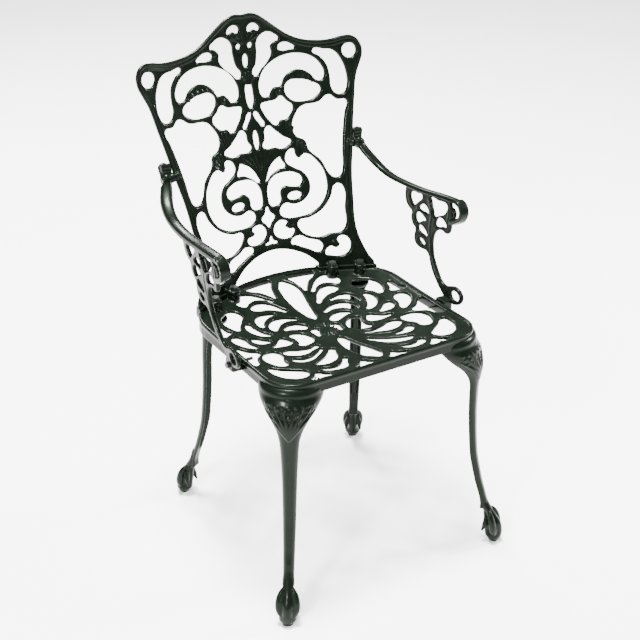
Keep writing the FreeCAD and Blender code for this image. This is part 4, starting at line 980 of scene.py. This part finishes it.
class ARMCHAIR_OT_back(bpy.types.Operator):
    """Makes the scrolled back from its flat drawing, with its ridges and leaves"""
    bl_idname = "armchair.back"
    bl_label = "Back"

    def execute(self, context):
        sizes = context.scene.armchair_sizes
        thickness = sizes.back_thickness / MM
        side = BACK_SIDE + mirrored(BACK_SIDE[:-1])
        arch = [(-x, y) for x, y in BACK_ARCH[:-1]] + BACK_ARCH[::-1]
        loops = [side + arch]
        loops += list(BACK_AXIS_OPENINGS.values())
        for points in BACK_SIDE_OPENINGS.values():
            loops += [points, mirrored(points)]
        plate = recast(flat_plate("back", loops, thickness), sizes.voxel)
        crowned(plate, loops, sizes.round_over / MM, groove=0.12)
        flat = [plate] + flat_strokes("ridge", back_relief(sizes.bead / MM), thickness / 2 - RELIEF_SINK)
        for (x, y), radius in BACK_BALLS:
            for way in (1, -1):
                flat.append(ball("curl_end", (way * x, y, BALL_PROUD), radius, BALL_SQUASH))
        pieces = [moved(piece, on_back) for piece in flat]
        place, axis = stile_place()
        boss = [(0, 0), (STILE_BOSS_RADIUS, 0), (STILE_BOSS_RADIUS, STILE_BOSS_LENGTH - 1),
                (0, STILE_BOSS_LENGTH)]
        for way in (1, -1):
            for half in LUG_HALVES:
                pieces += back_lug(way, half)
            pieces.append(turned("stile_boss", boss, (way * place.x, place.y, place.z),
                                 (-way * axis.x, axis.y, -axis.z)))
        whole = recast(joined("back", pieces), sizes.voxel)
        whole = moved(lightened(whole, TRIANGLES["back"]), to_centre)
        finished(whole, "back_casting", ["back_panel"], enamel())
        return {"FINISHED"}


def to_centre(point):
    """From the drawings' datum to the middle of the chair's depth."""
    return Vector((point.x, point.y - DEPTH_CENTRE * MM, point.z))


def to_leaning_foot(point):
    """From the foot of an upright arm to the foot of a leaning one."""
    inward = math.copysign(1, point.x) * (ARM_FOOT_HALF - ARM_HALF)
    return point + Vector((inward, CAD_FOOT_AHEAD - FOOT_LUG_AHEAD, FOOT_LUG_RAISE)) * MM


RIM_LINE = whole_outline(0)


def rim_place(u, v):
    """Skin of the seat's rail: a raised bead at the top, a step inside, a skirt outside."""
    middle = blend(RIM_LINE, v, closed=True)
    before = blend(RIM_LINE, (v - 0.002) % 1, closed=True)
    after = blend(RIM_LINE, (v + 0.002) % 1, closed=True)
    run = math.hypot(after[0] - before[0], after[1] - before[1])
    inward = (-(after[1] - before[1]) / run, (after[0] - before[0]) / run)
    aside = eased(abs(middle[0]), REAR_SKIRT_HALF - REAR_SKIRT_EASE, REAR_SKIRT_HALF + REAR_SKIRT_EASE)
    rear = eased(middle[1], *REAR_SKIRT_FROM) * (1 - aside)
    skirt = RIM_SKIRT + (REAR_SKIRT - RIM_SKIRT) * rear
    top = seat_height(middle[0], middle[1]) - RIM_HEIGHT + RIM_PROUD
    low = -skirt
    section = [(0.6, low), (0, low + 2), (0.8, top - 9), (0, top - 6.5), (0, top - 2.5), (1.8, top - 0.4),
               (4, top), (6.2, top - 0.6), (7.4, top - 2.6), (8.8, top - 3.6), (RIM_WIDTH, top - 4.6),
               (RIM_WIDTH, low + 4), (5, low)]
    inset, height = blend(section, u, closed=True)
    return middle[0] + inward[0] * inset, middle[1] + inward[1] * inset, RIM_HEIGHT + height


def hub_veins(height):
    """Ribs that fan out from the seat's hub."""
    made = []
    for k in range(HUB_VEINS):
        turn = 2 * math.pi * (k + 0.5) / HUB_VEINS
        vein = [(x * math.cos(turn), HUB_DEPTH + y * math.sin(turn), height) for x, y in (VEIN_FROM, VEIN_TO)]
        made.append(stroke("vein", vein, [1.2, 1.9]))
    return made


def seat_supports(way):
    """On one side of the seat, the pad and the bosses under the back, and the bosses over the legs."""
    tall = PAD_TOP - REAR_BOTTOM
    first = BACK_FOOT_HALVES[0] * BACK_SCALE - PAD_PAST_FOOT[0]
    last = BACK_FOOT_HALVES[1] * BACK_SCALE + PAD_PAST_FOOT[1]

    def pad(u, v):
        x = first + (last - first) * v
        y, z = blend(PAD_SECTION, u, closed=True)
        return way * x, back_depth(x, PAD_TOP) + y * PAD_WIDTH, REAR_BOTTOM + z * tall

    made = [skinned("pad", 40, 60, pad)]
    for half in LUG_HALVES:
        x, y = lug_place(half)
        boss = [(0, 0), (LUG_RADIUS, 0), (LUG_RADIUS, tall - 0.6), (0, tall - 0.5)]
        made.append(turned("lug_boss", boss, (way * x, y, REAR_BOTTOM), (0, 0, 1)))
    for end in LEG_ENDS:
        place = from_foot(end, LEG_ENDS[end]["bolt"])
        rise = seat_height(place.x, place.y) + LEG_BOSS_INTO_PLATE - RIM_BOTTOM
        boss = [(0, 0), (LEG_BOSS_RADIUS, 0), (LEG_BOSS_RADIUS, rise), (0, rise)]
        made.append(turned("leg_boss", boss, (way * place.x, place.y, RIM_BOTTOM), (0, 0, 1)))
    return made


class ARMCHAIR_OT_seat(bpy.types.Operator):
    """Makes the dished openwork seat, its rail, the pads under the back and the leg bosses"""
    bl_idname = "armchair.seat"
    bl_label = "Seat"

    def execute(self, context):
        sizes = context.scene.armchair_sizes
        thickness = sizes.seat_thickness / MM
        loops = [whole_outline(PLATE_INSET)]
        loops += list(SEAT_AXIS_OPENINGS.values())
        for points in SEAT_SIDE_OPENINGS.values():
            loops += [points, mirrored(points)]
        plate = recast(flat_plate("seat", loops, thickness), sizes.voxel)
        crowned(plate, loops, sizes.round_over / MM, groove=0.1)
        flat = [plate] + hub_veins(thickness / 2 - VEIN_SINK)
        pieces = [moved(piece, on_seat) for piece in flat] + [skinned("rim", 52, 560, rim_place)]
        for way in (1, -1):
            pieces += seat_supports(way)
        whole = recast(joined("seat", pieces), sizes.voxel)
        whole = moved(lightened(whole, TRIANGLES["seat"]), to_centre)
        finished(whole, "seat_casting", ["seat"], enamel())
        return {"FINISHED"}


def arm_carving(thickness):
    """Leaf and veins cast on the flat side of an arm."""
    made = [stroke("leaf", [(y, z, 0) for y, z in leaned(ARM_LEAF)], ARM_LEAF_RADII)]
    for side in (1, -1):
        face = side * (thickness / 2 - ARM_VEIN_SINK)
        for line in ARM_VEINS:
            made.append(stroke("vein", [(y, z, face) for y, z in leaned(line)], [ARM_VEIN_RADIUS]))
    return made


def arm_curl():
    """Front curl of an arm, with three rows of beads over it and leaf ribs down its sides."""
    flat = leaned(CURL_LINE)
    line = []
    for y, z in flat:
        line.append(tuple(arm_point(y, z, ARM_HALF + CURL_OUT - arm_lean(z + ARM_HEIGHT - ARM_DRAWN_RAIL))))
    curl = strap_place(line, CURL_WIDTH, CURL_THICKNESS, CURL_BEAD)
    made = [skinned("curl", 48, 90, curl)]
    for k in range(5):
        for u in (0.4, 0.5, 0.6):
            made.append(ball("bead", curl(u, 0.1 + 0.11 * k + 0.05 * (u == 0.5)), 1.5))
    for k in range(6):
        y, z = blend(flat, 0.1 + 0.12 * k)
        for aside in (-4.5, 4.5):
            root = arm_point(y - 2, z + 1, ARM_HALF + aside * 1.3)
            tip = arm_point(y - 3.2, z - 5, ARM_HALF + aside * 0.4)
            made.append(stroke("leaf_rib", [root, tip], [2.4, 1.3]))
    return made


def arm_foot(u, v):
    """Skin of the lug by which an arm is bolted to the side of the seat's rail."""
    y, z = blend(LUG_SECTION, u, closed=True)
    long_side, tall = FOOT_LUG
    less = 1 - 0.12 * eased(v, 0.85, 1)
    inner = SEAT_WIDTH / 2
    outer = ARM_FOOT_HALF + FOOT_LUG_PAST
    return (inner + (outer - inner) * v, -FOOT_LUG_AHEAD + y * long_side * less,
            RIM_MIDDLE + FOOT_LUG_RAISE + z * tall * less)


def arm_end(place, axis):
    """Tab at the upper end of an arm, with the boss that is bolted to the back's stile."""
    made = []
    for k in range(4):
        root = place + Vector((4, 4 + 0.6 * k, 2 + 6 * k))
        made.append(stroke("tab", [root, root + Vector((16 + 1.2 * k, 0, 0.5))], [6.2]))
    narrower, shorter = ARM_BOSS_CHAMFER
    boss = [(0, 0), (ARM_BOSS_RADIUS, 0), (ARM_BOSS_RADIUS, ARM_BOSS_LENGTH - shorter),
            (ARM_BOSS_RADIUS - narrower, ARM_BOSS_LENGTH), (0, ARM_BOSS_LENGTH)]
    made.append(turned("boss", boss, place, axis))
    made.append(ball("tab", place + axis * 15 + Vector((0, 1, 0)), ARM_BOSS_SWELL, 1.1))
    return made


def bored(piece, place, axis):
    """The piece with a recess for a bolt's head in the end of its boss."""
    profile = [(0, 0), (HEAD_RECESS_RADIUS, 0), (HEAD_RECESS_RADIUS, BORE_LENGTH), (0, BORE_LENGTH)]
    bore = turned("bore", profile, place + axis * (ARM_BOSS_LENGTH - HEAD_RECESS), axis)
    sink = piece.modifiers.new("sink", "BOOLEAN")
    sink.operation = "DIFFERENCE"
    sink.object = bore
    piece = settled(piece)
    bpy.data.objects.remove(bore)
    return piece


class ARMCHAIR_OT_arms(bpy.types.Operator):
    """Makes both arms: openwork side, crowned rail, front curl with its leaf, and bosses"""
    bl_idname = "armchair.arms"
    bl_label = "Arms"

    def execute(self, context):
        sizes = context.scene.armchair_sizes
        thickness = sizes.arm_thickness / MM
        loops = [leaned(ARM_OUTER + ARM_TOP[1:-1])] + [leaned(points) for points in ARM_OPENINGS.values()]
        plate = recast(flat_plate("arm", loops, thickness), sizes.voxel)
        crowned(plate, loops, sizes.round_over / MM, groove=0.12)
        pieces = [moved(piece, on_arm) for piece in [plate] + arm_carving(thickness)]
        rail = [tuple(arm_point(y, z, ARM_HALF + out)) for (y, z), out in zip(RAIL_LINE, RAIL_OUT)]
        pieces.append(skinned("rail", 48, 260, strap_place(rail, RAIL_WIDTH, RAIL_THICKNESS, RAIL_BEAD)))
        pieces += arm_curl()
        pieces.append(skinned("foot", 40, 24, arm_foot))
        place, axis = stile_place()
        pieces += arm_end(place, axis)
        whole = bored(recast(joined("arm", pieces), sizes.voxel), place, axis)
        whole = moved(lightened(whole, TRIANGLES["arm"]), to_centre)
        finished_pair(whole, "%s_arm_casting", "%s_arm", enamel())
        for node in ("arm_seat_bolts", "arm_seat_washers"):
            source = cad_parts[node]
            mesh = source.data.copy()
            mesh.transform(source.matrix_world)
            fixing = moved(keep_mesh(node + "_fitted", mesh), to_leaning_foot)
            finished(fixing, node + "_fitted", [node], bolt_paint())
        return {"FINISHED"}


def knee_carving(end):
    """Flutes of the leaf on a leg's knee, fanned out from its tip, under rows of buds."""
    made = []
    for side in (1, -1):
        for spread, tall in KNEE_FLUTES:
            points = []
            for k in range(6):
                t = k / 5
                turn = side * (0.04 + spread * t ** 0.8)
                points.append(tuple(leg_front(end, turn, KNEE_TIP + tall * t, 0.3)))
            made.append(stroke("flute", points, FLUTE_RADII))
    for row, height in enumerate(BUD_ROWS):
        for k in range(7 + row):
            turn = BUD_SPREAD * (2 * k / (6 + row) - 1)
            made.append(ball("bud", leg_front(end, turn, height, -0.7), BUD_RADIUS - 0.2 * row))
    return made


def channel_place(end):
    """Skin of a leg's channel, open on its inner side, drawn in at its shoulder."""
    top = RIM_BOTTOM + LEG_ENDS[end]["top"]
    shoulder = RIM_BOTTOM + LEG_ENDS[end]["shoulder"]

    def place(u, v):
        height = LEG_LOWEST + (top - LEG_LOWEST) * v
        reach, wide, deep = leg_station(end, min(max(height, LEG_SHAFT[0][0]), RIM_BOTTOM))
        over = max(0, (height - shoulder) / (top - shoulder))
        drawn_in = 1 - math.sqrt(1 - min(over, 1) ** 2)
        reach += SHOULDER_DRAW["inward"] * drawn_in
        wide *= 1 - SHOULDER_DRAW["narrower"] * drawn_in
        deep -= SHOULDER_DRAW["shallower"] * drawn_in
        if u < 0.5 or u > 0.999:
            turn = math.pi * (2 * u - 0.5) if u < 0.5 else -0.5 * math.pi
            flat = min(math.cos(turn), 0.93 + 0.07 * eased(height, *KNEE_ROUND_FROM))
            return leg_place(end, reach + deep - deep * flat, wide * math.sin(turn), height)
        turn = math.pi * (1.5 - 2 * u)
        inner_deep = (deep - LEG_WALL) * eased(height, *LEG_HOLLOW_FROM)
        inward = reach + deep - inner_deep * math.cos(turn)
        return leg_place(end, inward, (wide - LEG_LIP) * math.sin(turn), height)

    return place


def foot_place(end):
    """Skin of the core of a leg's foot, slim where the lobes lie against it."""
    stations = [FOOT_SOLE] + FOOT_STATIONS[::-1] + [ANKLE]

    def place(u, v):
        height = GLIDE_HEIGHT + (ANKLE[0] - GLIDE_HEIGHT) * v
        _, middle, half_length, half_width = at_height(stations, height)
        slim = 1 - 0.42 * eased(height, *FOOT_SLIM_FROM) * (1 - eased(height, *FOOT_SLIM_TO))
        half_length *= 0.8 + 0.2 * slim
        half_width *= slim
        turn = 2 * math.pi * u
        return leg_place(end, -middle - half_length * math.cos(turn), half_width * math.sin(turn), height)

    return place


def foot_lobes(end):
    """Lobes and ears on both sides of a foot, and the toe between them."""
    made = []
    for side in (1, -1):
        for name, knots in (("lobe", FOOT_LOBE), ("ear", FOOT_EAR)):
            line = [leg_place(end, inward, side * aside, height) for inward, aside, height, _ in knots]
            made.append(stroke(name, line, [radius for _, _, _, radius in knots]))
    made.append(ball("toe", leg_place(end, *TOE), TOE_RADIUS))
    return made


class ARMCHAIR_OT_legs(bpy.types.Operator):
    """Makes the four legs: hollow channel, scroll foot, and on the front ones a carved knee"""
    bl_idname = "armchair.legs"
    bl_label = "Legs"

    def execute(self, context):
        sizes = context.scene.armchair_sizes
        for end in LEG_ENDS:
            pieces = [skinned("channel", 96, 160, channel_place(end))]
            pieces.append(skinned("foot", 48, 40, foot_place(end)))
            pieces += foot_lobes(end)
            place = from_foot(end, LEG_ENDS[end]["bolt"])
            radius = LEG_ENDS[end]["flange"]
            rise = FLANGE_THICKNESS - FLANGE_SINK
            flange = [(0, 0), (radius - 1, 0), (radius, 1), (radius, rise), (0, rise)]
            base = (place.x, place.y, RIM_BOTTOM - FLANGE_THICKNESS)
            pieces.append(turned("flange", flange, base, (0, 0, 1)))
            if end == "front":
                pieces += knee_carving(end)
            whole = recast(joined(end + "_leg", pieces), sizes.voxel, rounds=2)
            whole = moved(lightened(whole, TRIANGLES["leg"]), to_centre)
            finished_pair(whole, end + "_%s_leg_casting", end + "_%s_leg", enamel())
        return {"FINISHED"}


class ARMCHAIR_OT_hardware(bpy.types.Operator):
    """Gives the glides their rubber and the bolts and washers their coat of paint"""
    bl_idname = "armchair.hardware"
    bl_label = "Glides, bolts and washers"

    def execute(self, context):
        for name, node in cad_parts.items():
            if name.endswith("glide"):
                node.data.materials.clear()
                node.data.materials.append(rubber())
            elif "bolt" in name or "washer" in name:
                node.data.materials.clear()
                node.data.materials.append(bolt_paint())
        return {"FINISHED"}


def soft_room():
    """Even white light from all around, paler where the camera sees it."""
    world = bpy.data.worlds.new("soft_room")
    world.use_nodes = True
    room = world.node_tree
    seen = add_node(room, "ShaderNodeLightPath")
    level = add_node(room, "ShaderNodeMapRange", {"To Min": ROOM_LIGHT, "To Max": ROOM_SEEN},
                     {"Value": seen.outputs["Is Camera Ray"]})
    room.nodes["Background"].inputs["Color"].default_value = (1, 1, 1, 1)
    room.links.new(level.outputs["Result"], room.nodes["Background"].inputs["Strength"])
    return world


def camera_stand():
    """Where the camera stands and how it is turned."""
    forward = Vector((-math.sin(CAMERA_TURN) * math.cos(CAMERA_TILT),
                      math.cos(CAMERA_TURN) * math.cos(CAMERA_TILT), -math.sin(CAMERA_TILT)))
    side = Vector((math.cos(CAMERA_TURN), math.sin(CAMERA_TURN), 0))
    up = side.cross(forward)
    right = side * math.cos(CAMERA_ROLL) + up * math.sin(CAMERA_ROLL)
    top = up * math.cos(CAMERA_ROLL) - side * math.sin(CAMERA_ROLL)
    axes = Matrix((right, top, -forward)).transposed().to_4x4()
    return Matrix.Translation(CAMERA_PLACE) @ axes


class ARMCHAIR_OT_stage(bpy.types.Operator):
    """Adds the pale floor, the soft lights and the camera at the photograph's angle"""
    bl_idname = "armchair.stage"
    bl_label = "Stage"

    def execute(self, context):
        ground = bmesh.new()
        bmesh.ops.create_grid(ground, x_segments=1, y_segments=1, size=FLOOR_REACH)
        mesh = bpy.data.meshes.new("floor")
        ground.to_mesh(mesh)
        ground.free()
        floor = keep_mesh("floor", mesh)
        floor.data.materials.append(paper())
        context.scene.world = soft_room()
        for name, lamp in LAMPS.items():
            data = bpy.data.lights.new(name, "AREA")
            data.energy = lamp["power"]
            data.size = lamp["size"]
            light = bpy.data.objects.new(name, data)
            context.scene.collection.objects.link(light)
            light.location = lamp["place"]
            aim = Vector(LAMPS_AIM) - light.location
            light.rotation_euler = aim.to_track_quat("-Z", "Y").to_euler()
        lens = bpy.data.cameras.new("camera")
        lens.lens = CAMERA_LENS
        lens.sensor_width = 36
        camera = bpy.data.objects.new("camera", lens)
        context.scene.collection.objects.link(camera)
        camera.matrix_world = camera_stand()
        context.scene.camera = camera
        return {"FINISHED"}


class ARMCHAIR_PT_panel(bpy.types.Panel):
    """Lists the steps that dress the armchair"""
    bl_label = "Armchair"
    bl_idname = "ARMCHAIR_PT_panel"
    bl_space_type = "VIEW_3D"
    bl_region_type = "UI"
    bl_category = "Armchair"

    def draw(self, context):
        for step in STEPS:
            self.layout.operator(step.bl_idname)


STEPS = (ARMCHAIR_OT_stage, ARMCHAIR_OT_back, ARMCHAIR_OT_seat, ARMCHAIR_OT_arms, ARMCHAIR_OT_legs,
         ARMCHAIR_OT_hardware)
CLASSES = (ArmchairSizes, ArmchairFinish) + STEPS + (ARMCHAIR_PT_panel,)


def register():
    for kind in CLASSES:
        bpy.utils.register_class(kind)
    bpy.types.Scene.armchair_sizes = PointerProperty(type=ArmchairSizes)
    bpy.types.Scene.armchair_finish = PointerProperty(type=ArmchairFinish)


def unregister():
    del bpy.types.Scene.armchair_sizes
    del bpy.types.Scene.armchair_finish
    for kind in reversed(CLASSES):
        bpy.utils.unregister_class(kind)


def main():
    register()
    bpy.ops.armchair.stage()
    bpy.ops.armchair.back()
    bpy.ops.armchair.seat()
    bpy.ops.armchair.arms()
    bpy.ops.armchair.legs()
    bpy.ops.armchair.hardware()


if __name__ == "__main__":
    main()
